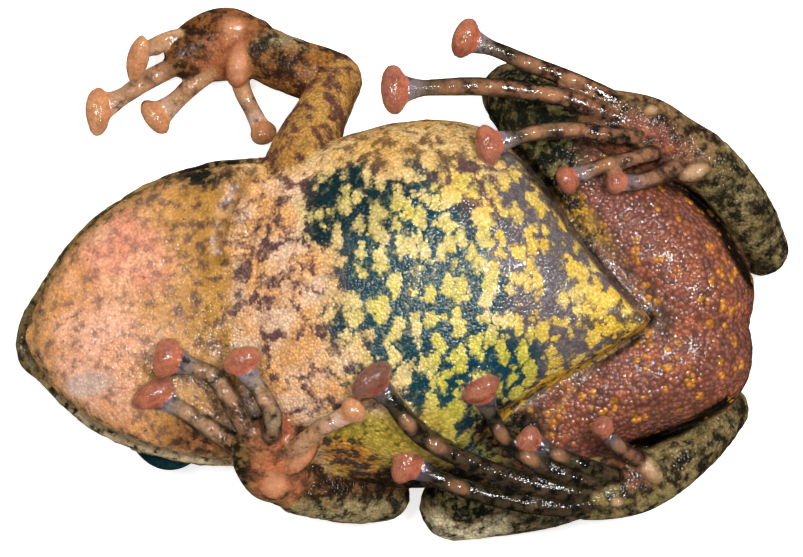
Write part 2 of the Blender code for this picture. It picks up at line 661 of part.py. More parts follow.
def main():
    for old in list(bpy.data.objects):
        bpy.data.objects.remove(old)
    nodes = {"head": head_solid(), "lower_jaw": jaw_solid(), "torso": torso_solid()}
    dress_head(nodes["head"])
    for side, word in ((-1, "right"), (1, "left")):
        nodes["eye_" + word] = bead("eye_" + word, eye_place(side), (EYE_RADIUS,) * 3, rows=10, columns=16)
    for name, stations in LIMBS.items():
        colour = SKIN_THIGH if name.startswith("thigh") else SKIN_LIMB
        nodes[name] = limb(name, stations, limb_sides(name), colour)
        if name in CUSHIONS:
            apply_boolean(nodes[name], "UNION", cushions(name))
    for name, digit in DIGITS.items():
        nodes[name] = digit_solid(name, digit, SKIN_DIGIT)

    # What lies outermost keeps its shape, and cuts a seat one seam wide in what lies under it.
    order = ["torso", "lower_jaw", "head"]
    order += [kind + word for kind in ("thigh_", "shank_", "tarsus_", "foot_") for word in ("left", "right")]
    order += [kind + word for kind in ("upper_arm_", "forearm_", "hand_") for word in ("left", "right")]
    order += sorted(DIGITS)
    for low, name in enumerate(order):
        over = [other for other in order[low + 1 :] if other not in ("lower_jaw", "head")]
        near = [other for other in over if boxes_meet(nodes[name], nodes[other])]
        if near:
            apply_boolean(nodes[name], "DIFFERENCE", [seat for other in near for seat in grown(other)])
    for made in nodes.values():
        flatten_on_floor(made)
        made.data.set_sharp_from_angle(angle=math.radians(50))


def boxes_meet(a, b):
    """Whether two objects' boxes, each one seam wider, share any space."""
    spans = []
    for made in (a, b):
        places = [made.matrix_world @ v.co for v in made.data.vertices]
        spans.append([(min(p[k] for p in places), max(p[k] for p in places)) for k in range(3)])
    return all(
        spans[0][k][0] - SEAM * MM < spans[1][k][1] and spans[1][k][0] - SEAM * MM < spans[0][k][1] for k in range(3)
    )


main()
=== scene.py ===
"""The looks of a plump rain frog that lies on its back, belly up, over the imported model.

One continuous skin stands in for all the flesh. It is drawn from the same sizes as the solids, in
millimetres, fused, and painted by region. The eyes stay separate. The snout points along -X, and
the frog's own left side is +Y.
"""

import math
from functools import partial
from typing import NamedTuple

import bmesh
import bpy
import numpy as np
from mathutils import Matrix, Vector, noise
from mathutils.bvhtree import BVHTree

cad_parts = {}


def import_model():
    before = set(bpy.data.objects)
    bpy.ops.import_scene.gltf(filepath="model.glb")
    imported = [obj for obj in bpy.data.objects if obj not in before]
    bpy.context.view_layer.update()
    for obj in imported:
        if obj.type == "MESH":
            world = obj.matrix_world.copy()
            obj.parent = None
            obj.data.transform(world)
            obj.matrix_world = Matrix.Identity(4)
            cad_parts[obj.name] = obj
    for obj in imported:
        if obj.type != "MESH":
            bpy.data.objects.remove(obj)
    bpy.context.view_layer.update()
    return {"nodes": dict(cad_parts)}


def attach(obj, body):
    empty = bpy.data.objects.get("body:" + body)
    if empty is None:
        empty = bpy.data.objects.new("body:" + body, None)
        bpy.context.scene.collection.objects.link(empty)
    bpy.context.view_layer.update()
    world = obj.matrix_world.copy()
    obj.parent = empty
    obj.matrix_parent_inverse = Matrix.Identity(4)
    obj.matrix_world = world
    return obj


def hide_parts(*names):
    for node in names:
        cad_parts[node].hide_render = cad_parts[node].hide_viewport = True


MM = 0.001
UP = (0.0, 0.0, 1.0)

# The photo's frame: its size in pixels, the size of a pixel at the frog, the pixel at the origin, and the
# level above the floor, halfway up the frog, that the size of a pixel holds for.
FRAME_WIDTH = 803
FRAME_HEIGHT = 557
PIXEL_MM = 0.058
ORIGIN_PIXEL = (402.5, 274.0)
SIGHT_LEVEL = 7.0

# How far granules stand proud, and how far apart they are where small and large, all in mm.
GRANULE_HEIGHT = 0.046
GRANULE_SPACING = (0.17, 0.27)

# Blender starts this noise from the clock, so it gets a fixed start: each run then gives the same skin.
STIR_SEED = 7

# The skin's mesh: how fine it is fused, and how many triangles are kept.
VOXEL = 0.125
SKIN_TRIANGLES = 196000

# Folds, where the skin is darkened as painted shade, are looked for with this many rays from each point,
# started a little off the skin and followed up to this far, in mm. A point lies fully in a fold where this
# share of its rays is stopped short.
SHELTER_RAYS = 12
SHELTER_LIFT = 0.06
SHELTER_REACH = 2.4
SHELTER_FULL = 0.62

# The head and trunk are read from side outlines along X: (x, value).
NECK_X = -9.2
SEAM = 0.3
MIDLINE = (
    (-22.5, -3.9), (-21.9, -3.55), (-20.0, -3.0), (-17.0, -2.6), (-12.0, -2.3),
    (-6.0, -2.2), (0.0, -2.1), (6.0, -2.2), (12.0, -2.5), (20.6, -2.7),
)
HEAD_HALF_WIDTH = (
    (-22.5, 0.0), (-22.36, 0.95), (-22.1, 1.55), (-21.1, 2.85), (-20.0, 4.3), (-18.5, 5.8),
    (-16.9, 6.9), (-14.8, 7.9), (-12.0, 8.7), (-9.2, 8.95),
)
LIP_LEVEL = ((-22.5, 4.7), (-20.0, 5.1), (-16.0, 5.8), (-13.0, 6.35), (-9.2, 6.9))
CROWN_LEVEL = (
    (-22.5, 4.0), (-22.1, 3.3), (-21.1, 2.6), (-19.0, 1.8), (-16.0, 1.1), (-13.0, 0.7), (-9.2, 0.0),
)
THROAT_LEVEL = (
    (-21.6, 5.7), (-21.0, 6.5), (-20.0, 7.2), (-18.0, 8.0), (-15.0, 8.7), (-12.0, 9.2), (-9.2, 9.9),
)
LIP_OVERHANG = ((-22.5, 0.6), (-19.0, 0.45), (-14.0, 0.38), (-9.2, 0.3))
JAW_TIP_X = -21.85
HEAD_ROLL_DEG = ((-22.5, 6.0), (-13.0, 6.0), (-9.2, 0.0))
ROLL_CENTRE_Z = 6.5

EYE_RADIUS = 2.45
EYE_X = -13.55
EYE_LEVEL = 3.35
# Seen from straight above, the lip just hides the left eye, so it lies a little further in.
EYE_SIDE_RIGHT = 6.2
EYE_SIDE_LEFT = 5.85
LID_THICK = 0.45
LID_SHIFT = (0.0, 0.72, 0.3)
LID_RIM_OUT = 1.42
LID_RIM_RADIUS = 2.08
LID_RIM_THICK = 0.2
NOSTRIL = {"x": -21.2, "side": 1.35, "level": 2.75, "radius": 0.34, "depth": 0.3}
EARDRUM = {"x": -10.4, "side": 8.35, "level": 4.3, "radius": 1.05, "proud": 0.22}

TRUNK = (
    # x, half width, ventral level
    (-9.2, 8.8, 9.9), (-6.0, 9.4, 10.4), (-2.0, 10.1, 10.6), (2.0, 10.3, 10.2), (6.0, 9.5, 9.4),
    (10.0, 7.8, 9.0), (14.0, 6.0, 8.6), (17.0, 4.6, 8.0), (19.3, 2.6, 6.6),
)
TRUNK_WIDEST_Z = 5.2
TRUNK_BACK_Z = -0.35
RUMP_TIP = (20.3, 4.2)
BELLY = (
    # x, mid y, half width, ventral level
    (-8.9, -2.2, 5.5, 9.4), (-8.0, -2.1, 7.7, 10.6), (-6.0, -1.8, 8.6, 11.5), (-3.0, -1.35, 9.45, 12.5),
    (0.7, -1.2, 10.1, 13.1), (3.9, -0.9, 9.6, 13.1), (5.8, -0.4, 8.1, 12.9), (8.0, -0.6, 6.15, 12.4),
    (9.5, -1.3, 4.7, 12.0), (10.9, -1.85, 3.4, 11.6), (12.9, -2.4, 1.6, 11.0), (14.0, -2.7, 0.65, 10.5),
)
BELLY_WIDEST_Z = 7.4
BELLY_FLOOR_Z = 5.4
BELLY_TIP = (14.4, -2.6, 9.6)

# Limb stations are (x, y, z, half width, half depth), from the body outwards.
LIMBS = {
    "upper_arm_left": (
        (-5.8, 4.4, 6.8, 2.7, 2.4), (-5.7, 6.6, 6.4, 2.2, 2.2), (-5.0, 8.7, 5.0, 1.65, 1.7),
        (-4.3, 10.2, 3.7, 1.5, 1.55), (-3.9, 11.2, 2.6, 1.55, 1.6),
    ),
    "forearm_left": (
        (-3.9, 11.4, 2.1, 1.5, 1.6), (-5.0, 11.7, 2.2, 1.65, 1.8), (-6.4, 12.1, 2.3, 1.65, 1.7),
        (-8.2, 12.9, 2.2, 1.6, 1.35),
    ),
    "hand_left": (
        (-8.6, 13.3, 2.0, 1.65, 1.25), (-10.2, 13.45, 1.7, 2.15, 1.15), (-11.8, 13.1, 1.6, 1.95, 1.0),
        (-13.1, 12.75, 1.7, 1.35, 0.8),
    ),
    "upper_arm_right": (
        (-6.2, -8.2, 6.4, 2.6, 2.2), (-4.6, -9.8, 5.4, 2.1, 2.0), (-2.9, -11.3, 3.9, 1.7, 1.7),
        (-1.5, -12.4, 2.6, 1.6, 1.6),
    ),
    "forearm_right": (
        (-1.1, -12.9, 3.6, 1.5, 1.6), (-2.6, -12.8, 4.6, 1.75, 1.7), (-4.4, -12.5, 5.9, 1.8, 1.5),
        (-6.2, -12.3, 7.2, 1.65, 1.2),
    ),
    "hand_right": (
        (-6.55, -12.2, 7.6, 1.5, 1.1), (-7.2, -11.4, 8.5, 2.15, 1.0), (-7.7, -10.2, 9.3, 2.3, 0.9),
        (-8.3, -9.2, 9.9, 1.9, 0.75),
    ),
    "thigh_left": (
        (16.3, -1.2, 4.6, 4.2, 4.4), (14.6, 1.15, 4.7, 4.2, 4.5), (12.4, 3.6, 4.6, 3.9, 4.3),
        (10.0, 6.4, 4.1, 3.4, 3.9), (8.2, 8.6, 3.5, 2.6, 3.0), (7.0, 10.0, 3.0, 2.1, 2.4),
    ),
    "shank_left": (
        (6.5, 10.5, 2.4, 1.9, 2.0), (8.6, 9.9, 2.3, 2.2, 2.3), (11.5, 8.6, 2.3, 2.3, 2.3),
        (15.0, 6.6, 2.2, 1.95, 2.1), (18.2, 4.2, 2.0, 1.7, 1.8), (20.75, 1.95, 1.9, 1.5, 1.6),
    ),
    "tarsus_left": (
        (21.0, 1.4, 2.6, 1.5, 1.5), (20.15, 3.2, 4.2, 1.65, 1.5), (18.9, 5.0, 5.6, 1.7, 1.4),
        (17.7, 6.3, 6.5, 1.75, 1.25),
    ),
    "foot_left": (
        (17.4, 6.6, 6.7, 1.75, 1.15), (15.9, 7.3, 7.3, 1.9, 1.05), (14.1, 8.15, 7.8, 2.15, 0.95),
        (12.2, 8.9, 8.1, 1.85, 0.8), (10.9, 9.5, 8.3, 1.4, 0.65),
    ),
    "thigh_right": (
        (16.2, -4.6, 4.6, 4.2, 4.4), (14.2, -5.4, 4.7, 4.1, 4.5), (11.4, -7.0, 4.6, 3.8, 4.3),
        (8.4, -9.2, 4.1, 3.3, 3.8), (5.6, -11.4, 3.4, 2.6, 2.9), (3.9, -12.8, 2.9, 2.1, 2.3),
    ),
    "shank_right": (
        (3.0, -13.55, 2.3, 2.0, 2.0), (5.2, -13.2, 2.3, 2.15, 2.3), (8.6, -12.5, 2.3, 2.25, 2.3),
        (12.2, -11.4, 2.2, 2.0, 2.1), (15.6, -9.7, 2.0, 1.7, 1.8), (18.45, -7.9, 1.9, 1.5, 1.6),
    ),
    "tarsus_right": (
        (18.7, -7.9, 2.6, 1.5, 1.5), (17.6, -9.2, 4.2, 1.6, 1.5), (16.3, -10.5, 5.6, 1.6, 1.4),
        (15.2, -11.4, 6.5, 1.6, 1.25),
    ),
    "foot_right": (
        (15.0, -11.6, 6.8, 1.6, 1.15), (13.7, -12.0, 7.4, 1.85, 1.05), (12.2, -12.3, 8.0, 1.9, 0.95),
        (10.4, -12.5, 8.4, 1.75, 0.8), (9.0, -12.4, 8.6, 1.3, 0.65),
    ),
}

class Digit(NamedTuple):
    """A finger or toe. Its pad may be turned on the end of its stalk, and may face another way than up."""

    stalk: float  # half width
    pad: tuple  # half breadth and half length
    knuckles: tuple  # how far from the tip each tubercle lies
    path: tuple  # from root to tip
    skew: float = 0.0  # degrees
    faces: tuple = UP


DIGITS = {
    "finger_left_1": Digit(0.57, (0.82, 0.7), (2.9,), path=(
        (-9.6, 12.4, 2.2), (-9.4, 10.9, 1.7), (-8.7, 9.4, 1.3), (-7.8, 7.6, 1.2),
    )),
    "finger_left_2": Digit(0.62, (1.2, 0.65), (3.4,), path=(
        (-11.0, 12.1, 1.9), (-12.3, 11.0, 1.5), (-13.5, 9.9, 1.2), (-15.0, 8.8, 1.2),
    )),
    "finger_left_3": Digit(0.6, (1.45, 0.75), (3.0, 4.7), skew=-26, path=(
        (-12.6, 12.5, 1.9), (-13.8, 11.9, 1.6), (-15.1, 11.2, 1.3), (-16.6, 10.2, 1.2), (-18.45, 9.1, 1.3),
    )),
    "finger_left_4": Digit(0.52, (1.5, 0.6), (2.6,), faces=(0.94, -0.33, 0.25), path=(
        (-12.2, 13.8, 1.8), (-13.4, 13.8, 1.9), (-14.6, 13.3, 2.3), (-15.3, 12.8, 3.1), (-15.6, 12.4, 4.3),
    )),
    "finger_right_1": Digit(0.55, (0.85, 0.7), (2.6,), path=(
        (-6.6, -10.4, 9.7), (-5.6, -9.6, 10.6), (-4.6, -8.9, 11.6), (-3.4, -8.2, 12.2), (-2.2, -7.5, 12.5),
    )),
    "finger_right_2": Digit(0.6, (1.2, 0.75), (3.4,), path=(
        (-7.6, -9.4, 10.5), (-7.5, -8.2, 11.3), (-8.0, -7.1, 11.6), (-8.8, -5.9, 11.5), (-9.6, -4.3, 11.3),
    )),
    "finger_right_3": Digit(0.6, (1.25, 0.8), (3.0, 4.9), path=(
        (-8.9, -9.2, 10.2), (-9.7, -7.8, 10.5), (-10.3, -6.7, 10.6), (-11.1, -5.8, 10.5),
        (-12.3, -5.3, 10.4), (-14.4, -4.6, 10.2),
    )),
    "finger_right_4": Digit(0.58, (1.35, 0.7), (2.9, 4.6), skew=-30, path=(
        (-9.3, -10.2, 9.5), (-10.6, -9.3, 9.3), (-11.9, -8.4, 9.1), (-13.2, -7.6, 9.0), (-15.0, -6.6, 9.0),
    )),
    "toe_left_1": Digit(0.55, (0.72, 0.6), (1.9,), path=(
        (15.9, 6.2, 8.1), (14.6, 5.6, 9.2), (13.3, 5.3, 9.7), (11.7, 5.3, 9.9),
    )),
    "toe_left_2": Digit(0.5, (0.9, 0.6), (3.2,), path=(
        (14.6, 7.0, 8.7), (13.1, 6.6, 9.5), (11.7, 6.3, 9.9), (10.4, 5.8, 10.1), (8.9, 5.2, 10.3),
    )),
    "toe_left_3": Digit(0.52, (1.2, 0.75), (3.6, 5.9), path=(
        (13.6, 7.9, 8.6), (12.0, 8.0, 9.2), (10.1, 8.3, 9.7), (7.9, 8.2, 10.2), (6.3, 7.8, 10.8),
        (4.2, 7.3, 11.3),
    )),
    "toe_left_4": Digit(0.55, (1.5, 0.8), (4.1, 6.3, 10.0), path=(
        (12.8, 8.9, 8.4), (11.0, 9.6, 8.8), (8.9, 10.3, 9.1), (5.1, 10.8, 9.5), (2.4, 10.8, 9.8),
        (-1.3, 10.6, 10.1),
    )),
    "toe_left_5": Digit(0.52, (1.25, 0.75), (4.6, 7.5), path=(
        (12.6, 9.8, 8.3), (11.2, 10.6, 8.5), (9.6, 11.3, 8.7), (7.2, 12.2, 8.9), (5.6, 12.9, 9.0),
        (2.9, 13.9, 9.2),
    )),
    "toe_right_1": Digit(0.52, (0.72, 0.6), (2.0,), path=(
        (14.0, -11.0, 8.1), (13.0, -10.3, 9.2), (12.1, -9.6, 9.8), (11.2, -8.3, 10.1),
    )),
    "toe_right_2": Digit(0.5, (0.85, 0.65), (2.6,), path=(
        (12.4, -11.7, 8.9), (10.9, -11.2, 9.6), (9.6, -10.7, 10.0), (8.3, -10.1, 10.2), (6.7, -9.2, 10.4),
    )),
    "toe_right_3": Digit(0.52, (1.2, 0.75), (3.7, 6.0), path=(
        (11.4, -12.1, 8.9), (9.6, -11.7, 9.4), (7.7, -10.9, 9.9), (5.9, -9.5, 10.5), (5.1, -8.0, 11.2),
        (4.2, -6.0, 12.2),
    )),
    "toe_right_4": Digit(0.58, (1.45, 0.8), (4.1, 6.4), path=(
        (10.8, -12.6, 8.8), (9.0, -12.5, 9.1), (5.7, -11.6, 9.8), (2.1, -10.0, 11.0), (0.5, -8.8, 11.8),
        (-0.6, -7.4, 12.5), (-2.3, -5.5, 13.2),
    )),
    "toe_right_5": Digit(0.58, (1.3, 0.8), (4.2,), path=(
        (10.8, -13.3, 8.7), (9.1, -13.5, 8.7), (6.2, -13.1, 8.8), (3.5, -12.4, 9.0), (2.0, -11.8, 9.2),
        (-0.5, -10.6, 9.6),
    )),
}

# How a stalk runs into its pad: the length of the flare, the neck's share of the stalk's width and its
# length, and the depths of stalk, disc and cushion.
PAD_FLARE = 1.9
NECK_SHARE = 0.8
NECK_LENGTH = 3.0
DIGIT_DEPTH = 0.86
DISC_ABOVE = 0.28
DISC_BELOW = 0.45
CUSHION_RISE = 0.66

# Cushions on the palms and soles: (x, y, z), half length, half breadth, half height, turn in degrees.
CUSHIONS = {
    "hand_left": (((-9.5, 12.3, 2.7), 1.5, 0.85, 0.6, 80), ((-9.9, 14.3, 2.5), 0.9, 0.8, 0.55, 10)),
    "hand_right": (((-5.9, -10.5, 9.5), 1.4, 0.75, 0.6, 50), ((-7.4, -12.2, 8.8), 0.9, 0.9, 0.5, 0)),
    "foot_left": (((16.9, 5.9, 8.0), 1.05, 0.55, 0.5, 22), ((14.4, 9.5, 8.55), 0.45, 0.35, 0.35, 0)),
    "foot_right": (((14.3, -11.3, 8.3), 1.05, 0.62, 0.5, -50), ((12.4, -13.2, 8.75), 0.45, 0.35, 0.35, 0)),
}

# Grooves where the skin folds: a line of (x, y), depth and half width. Two lie behind the throat, and two
# edge the belly.
LEFT_BELLY_FOLD = ((6.4, 7.4), (8.0, 5.5), (9.2, 3.8), (10.4, 2.1), (11.8, 0.1), (13.0, -1.3), (14.4, -2.6))
FOLDS = (
    (((-8.6, 6.1), (-9.8, 4.6), (-10.4, 3.4), (-10.6, 2.0), (-10.5, 1.0)), 0.34, 0.3),
    (((-9.0, -9.0), (-10.0, -6.5), (-10.6, -4.0)), 0.2, 0.3),
    (LEFT_BELLY_FOLD, 0.2, 0.22),
    (((14.4, -2.6), (13.0, -4.0), (11.6, -4.8), (10.0, -5.8), (8.4, -6.7), (6.0, -7.9)), 0.16, 0.2),
)

# Where the throat runs into the chest, and how many rounds of averaging ease the step there.
CHEST_JOIN_X = -8.5
CHEST_JOIN_ROUNDS = 26

# Deep crevices between a thigh and the shank folded against it, in plan, where near-black is painted as
# shade.
CREVICE_SHADE_LINES = (
    ((16.8, 4.7), (18.4, 2.8), (19.8, 0.3), (20.3, -0.6)),
    ((13.1, -10.0), (16.1, -9.1), (19.0, -7.3)),
)


def between(table, x):
    """The value at x of a smooth curve through the table's points, with flat ends."""
    if x <= table[0][0]:
        return table[0][1]
    if x >= table[-1][0]:
        return table[-1][1]
    i = max(k for k in range(len(table) - 1) if table[k][0] <= x)
    slopes = []
    for k in (i, i + 1):
        before, after = table[max(k - 1, 0)], table[min(k + 1, len(table) - 1)]
        slopes.append((after[1] - before[1]) / (after[0] - before[0]))
    (x0, y0), (x1, y1) = table[i], table[i + 1]
    span = x1 - x0
    t = (x - x0) / span
    return (
        y0 * (2 * t**3 - 3 * t**2 + 1) + y1 * (3 * t**2 - 2 * t**3)
        + slopes[0] * span * (t**3 - 2 * t**2 + t) + slopes[1] * span * (t**3 - t**2)
    )


def column(rows, k):
    """Column k of a table as (x, value) pairs."""
    return tuple((row[0], row[k]) for row in rows)


def spread(start, end, step):
    """Places from start to end, evenly spaced and about step apart."""
    count = max(1, round((end - start) / step))
    return [start + (end - start) * k / count for k in range(count + 1)]


def rounded(cosine, power):
    """A cosine bent towards a square by a superellipse's power."""
    return math.copysign(abs(cosine) ** (2.0 / power), cosine)


def rolled(x, mid, side, level, roll):
    """A place off the midline at some level, rolled about the body's axis."""
    height = level - ROLL_CENTRE_Z
    return Vector((
        x,
        mid + side * math.cos(roll) + height * math.sin(roll),
        ROLL_CENTRE_Z + height * math.cos(roll) - side * math.sin(roll),
    ))


def slice_ring(x, mid, half_width, waist, top, bottom, powers, sides, roll=0.0):
    """One cross-section at x: a superellipse with unlike halves, rolled about the body's axis."""
    points = []
    for k in range(sides):
        angle = 2 * math.pi * k / sides
        c, s = math.cos(angle), math.sin(angle)
        power, reach = (powers[0], top - waist) if s >= 0 else (powers[1], waist - bottom)
        points.append(rolled(x, mid, half_width * rounded(c, power), waist + reach * rounded(s, power), roll))
    return points


def head_place(x, side, level):
    """A place given by its distance from the head's midline and its level, turned with the head's roll."""
    return rolled(x, between(MIDLINE, x), side, level, math.radians(between(HEAD_ROLL_DEG, x)))


def mean(points):
    return sum(points, Vector()) / len(points)


def smooth_path(stations, step):
    """Stations about step apart on a Catmull-Rom curve through the given ones."""
    rows = [tuple(row) for row in stations]
    padded = [tuple(2 * a - b for a, b in zip(rows[0], rows[1]))] + rows
    padded.append(tuple(2 * a - b for a, b in zip(rows[-1], rows[-2])))
    made = []
    for i in range(1, len(padded) - 2):
        p0, p1, p2, p3 = padded[i - 1 : i + 3]
        parts = max(1, round((Vector(p2[:3]) - Vector(p1[:3])).length / step))
        for k in range(parts):
            t = k / parts
            made.append(tuple(
                0.5 * (
                    2 * b + (c - a) * t + (2 * a - 5 * b + 4 * c - d) * t**2 + (3 * b - a - 3 * c + d) * t**3
                )
                for a, b, c, d in zip(p0, p1, p2, p3)
            ))
    made.append(rows[-1])
    return made


def frames(points, up):
    """Along, across and up directions at each point of a path."""
    made = []
    for i in range(len(points)):
        along = (points[min(i + 1, len(points) - 1)] - points[max(i - 1, 0)]).normalized()
        across = Vector(up).cross(along).normalized()
        made.append((along, across, along.cross(across)))
    return made


def oval(centre, across, up, half_width, depth_up, depth_down, sides):
    """An oval ring whose upper half may be deeper than its lower."""
    points = []
    for k in range(sides):
        angle = 2 * math.pi * k / sides
        depth = depth_up if math.sin(angle) > 0 else depth_down
        points.append(centre + across * half_width * math.cos(angle) + up * depth * math.sin(angle))
    return points


class Flesh:
    """Closed forms that overlap, kept as one list of points and faces, with each face's part."""

    def __init__(self):
        self.points = []
        self.faces = []
        self.parts = []

    def add(self, part, points, faces):
        start = len(self.points)
        self.points += [tuple(p) for p in points]
        self.faces += [tuple(start + i for i in face) for face in faces]
        self.parts += [part] * len(faces)

    def shell(self, part, rings, first, last):
        """A closed skin over a row of rings, drawn to a point at each end."""
        sides = len(rings[0])
        points = [p for ring in rings for p in ring] + [first, last]
        faces = []
        for r in range(len(rings) - 1):
            for i in range(sides):
                j = (i + 1) % sides
                faces.append((r * sides + i, r * sides + j, (r + 1) * sides + j, (r + 1) * sides + i))
        top = (len(rings) - 1) * sides
        for i in range(sides):
            j = (i + 1) % sides
            faces.append((len(points) - 2, j, i))
            faces.append((len(points) - 1, top + i, top + j))
        self.add(part, points, faces)

    def bead(self, part, centre, radii, axes=None, turn_deg=0.0):
        """An ellipsoid, turned about Z or laid on three given axes."""
        turn = Matrix.Rotation(math.radians(turn_deg), 3, "Z")
        if axes:
            turn = Matrix(axes).transposed()
        rings = []
        for k in range(1, 12):
            polar = math.pi * k / 12
            rings.append([
                Vector(centre) + turn @ Vector((
                    radii[0] * math.sin(polar) * math.cos(a), radii[1] * math.sin(polar) * math.sin(a),
                    -radii[2] * math.cos(polar),
                ))
                for a in [2 * math.pi * i / 24 for i in range(24)]
            ])
        pole = turn @ Vector((0, 0, radii[2]))
        self.shell(part, rings, Vector(centre) - pole, Vector(centre) + pole)

    def limb(self, part, stations, sides=36, step=0.3, up=UP):
        """A round-ended limb through its stations."""
        rows = smooth_path(stations, step)
        points = [Vector(row[:3]) for row in rows]
        turned = frames(points, up)
        rings = [
            oval(point, across, upward, row[3], row[4], row[4], sides)
            for (_, across, upward), point, row in zip(turned, points, rows)
        ]
        ends = []
        for index, way in ((0, -1), (-1, 1)):
            along, across, upward = turned[index]
            half_width, depth = rows[index][3], rows[index][4]
            reach = min(half_width, depth)
            cap = [
                oval(
                    points[index] + along * way * reach * math.sin(turn), across, upward,
                    half_width * math.cos(turn), depth * math.cos(turn), depth * math.cos(turn), sides,
                )
                for turn in [math.radians(t) for t in (12, 24, 36, 48, 60, 72, 82)]
            ]
            ends.append((cap, points[index] + along * way * reach))
        (start_cap, start), (end_cap, end) = ends
        self.shell(part, start_cap[::-1] + rings + end_cap, start, end)


def pad_profile(to_tip, stalk, breadth, length):
    """Half width of a digit at a distance from its tip: a broad pad, a flare, a slim neck, then the stalk."""
    stalk *= NECK_SHARE + (1 - NECK_SHARE) * min(1.0, max(0.0, to_tip - 2 * length) / NECK_LENGTH)
    pad = breadth * math.sqrt(max(1 - ((to_tip - length) / length) ** 2, 0.0))
    flare = stalk + (0.8 * breadth - stalk) * max(0.0, 1 - max(to_tip - length, 0.0) / PAD_FLARE) ** 1.5
    if to_tip < length:
        return pad
    return max(pad, flare, stalk)


def add_digit(flesh, part, digit):
    """A digit's stalk, knuckle tubercles and cushioned disc. Gives the places that are painted."""
    stalk = digit.stalk
    breadth, length = digit.pad
    points = [Vector(p) for p in smooth_path(digit.path, 0.12)]
    to_tips = [0.0]
    for a, b in zip(points[::-1], points[-2::-1]):
        to_tips.append(to_tips[-1] + (b - a).length)
    to_tips = to_tips[::-1]
    turned = frames(points, digit.faces)
    rings = []
    for (along, across, upward), point, to_tip in zip(turned[:-1], points, to_tips):
        share = min(1.0, max(0.0, 1.0 - (to_tip - 2 * length) / PAD_FLARE))
        slant = math.radians(digit.skew * share)
        slanted = across * math.cos(slant) - along * math.sin(slant)
        tip_round = math.sqrt(max(0.0, 1 - max(0.0, 1 - to_tip / length) ** 2))
        blend = min(1.0, max(0.0, (to_tip - 1.8 * length) / 1.2))
        above = (DISC_ABOVE + (stalk * DIGIT_DEPTH - DISC_ABOVE) * blend) * tip_round
        below = (DISC_BELOW + (stalk * DIGIT_DEPTH - DISC_BELOW) * blend) * tip_round
        half_width = pad_profile(to_tip, stalk, breadth, length)
        rings.append(oval(point, slanted, upward, half_width, above, below, 28))
    flesh.shell(part, rings, points[0] - turned[0][0] * stalk, points[-1])
    along, across, upward = turned[-2]
    slant = math.radians(digit.skew)
    slanted = across * math.cos(slant) - along * math.sin(slant)
    ahead = slanted.cross(upward)
    centre = points[-1] - along * length * 0.98 + upward * 0.08
    flesh.bead(part, centre, (length * 0.95, breadth * 0.95, CUSHION_RISE), axes=(ahead, slanted, upward))
    knobs = []
    for k in digit.knuckles:
        i = min(range(len(points)), key=lambda n: abs(to_tips[n] - k))
        along, across, upward = turned[i]
        seat = points[i] + upward * stalk * DIGIT_DEPTH * 0.7
        flesh.bead(part, seat, (0.6, 0.8 * stalk, 0.4), axes=(along, across, upward))
        knobs.append(seat + upward * 0.3)
    return {"line": points, "to_tips": to_tips, "knobs": knobs, "pad": (centre, ahead, slanted, upward)}


def eye_place(side):
    return head_place(EYE_X, EYE_SIDE_LEFT if side > 0 else -EYE_SIDE_RIGHT, EYE_LEVEL)


def add_head(flesh):
    """Skull and upper jaw, lower jaw and throat, lids and eardrums."""
    stations = [-22.45, -22.36, -22.2] + spread(-22.0, NECK_X + 1.2, 0.25)
    rings = []
    for x in stations:
        at = min(x, NECK_X)
        rings.append(
            slice_ring(
                x, between(MIDLINE, x), between(HEAD_HALF_WIDTH, at), between(LIP_LEVEL, at) - 0.5,
                between(LIP_LEVEL, at), between(CROWN_LEVEL, at), (3.4, 2.5), 96,
                math.radians(between(HEAD_ROLL_DEG, x)),
            )
        )
    flesh.shell("head", rings, head_place(-22.5, 0.0, between(LIP_LEVEL, -22.5) - 0.35), mean(rings[-1]))
    rings = []
    for x in spread(JAW_TIP_X, NECK_X + 1.2, 0.2):
        at = min(x, NECK_X)
        tip_round = math.sqrt(1 - max(0.0, 1 - (x - JAW_TIP_X + 0.1) / 1.6) ** 2)
        half_width = max(between(HEAD_HALF_WIDTH, at) - between(LIP_OVERHANG, at), 0.6) * tip_round
        lip = between(LIP_LEVEL, at) + 0.75 * SEAM
        rings.append(
            slice_ring(
                x, between(MIDLINE, x), half_width, lip + 0.35, between(THROAT_LEVEL, at), lip,
                (2.2, 3.4), 96, math.radians(between(HEAD_ROLL_DEG, x)),
            )
        )
    flesh.shell("lower_jaw", rings, mean(rings[0]) - Vector((0.12, 0, 0)), mean(rings[-1]))
    # The tongue side of the mouth is never seen, so one plug joins the jaws inside the lips.
    flesh.bead("lower_jaw", (-12.5, -2.3, 6.4), (6.6, 6.2, 1.6))
    for side in (-1, 1):
        eye = eye_place(side)
        lid = EYE_RADIUS + LID_THICK
        shift = Vector((LID_SHIFT[0], -side * LID_SHIFT[1], -LID_SHIFT[2]))
        flesh.bead("head", eye + shift, (lid * 1.08, lid, lid * 0.98))
        drum = head_place(EARDRUM["x"], side * EARDRUM["side"], EARDRUM["level"])
        flesh.bead("head", drum, (EARDRUM["radius"], 2 * EARDRUM["proud"], EARDRUM["radius"]))
        # The lids' swollen rims, upper and lower, meet at the corners of the eye.
        outward = Vector((-0.12, side, -0.1)).normalized()
        across = outward.cross(Vector(UP)).normalized()
        upward = across.cross(outward)
        rim = []
        for k in range(49):
            a = 2 * math.pi * k / 48
            arm = across * math.cos(a) * 1.0 + upward * math.sin(a) * 0.86
            rim.append((*(eye + outward * LID_RIM_OUT + arm * LID_RIM_RADIUS), LID_RIM_THICK, LID_RIM_THICK))
        flesh.limb("head", rim, sides=12, step=0.2, up=outward)


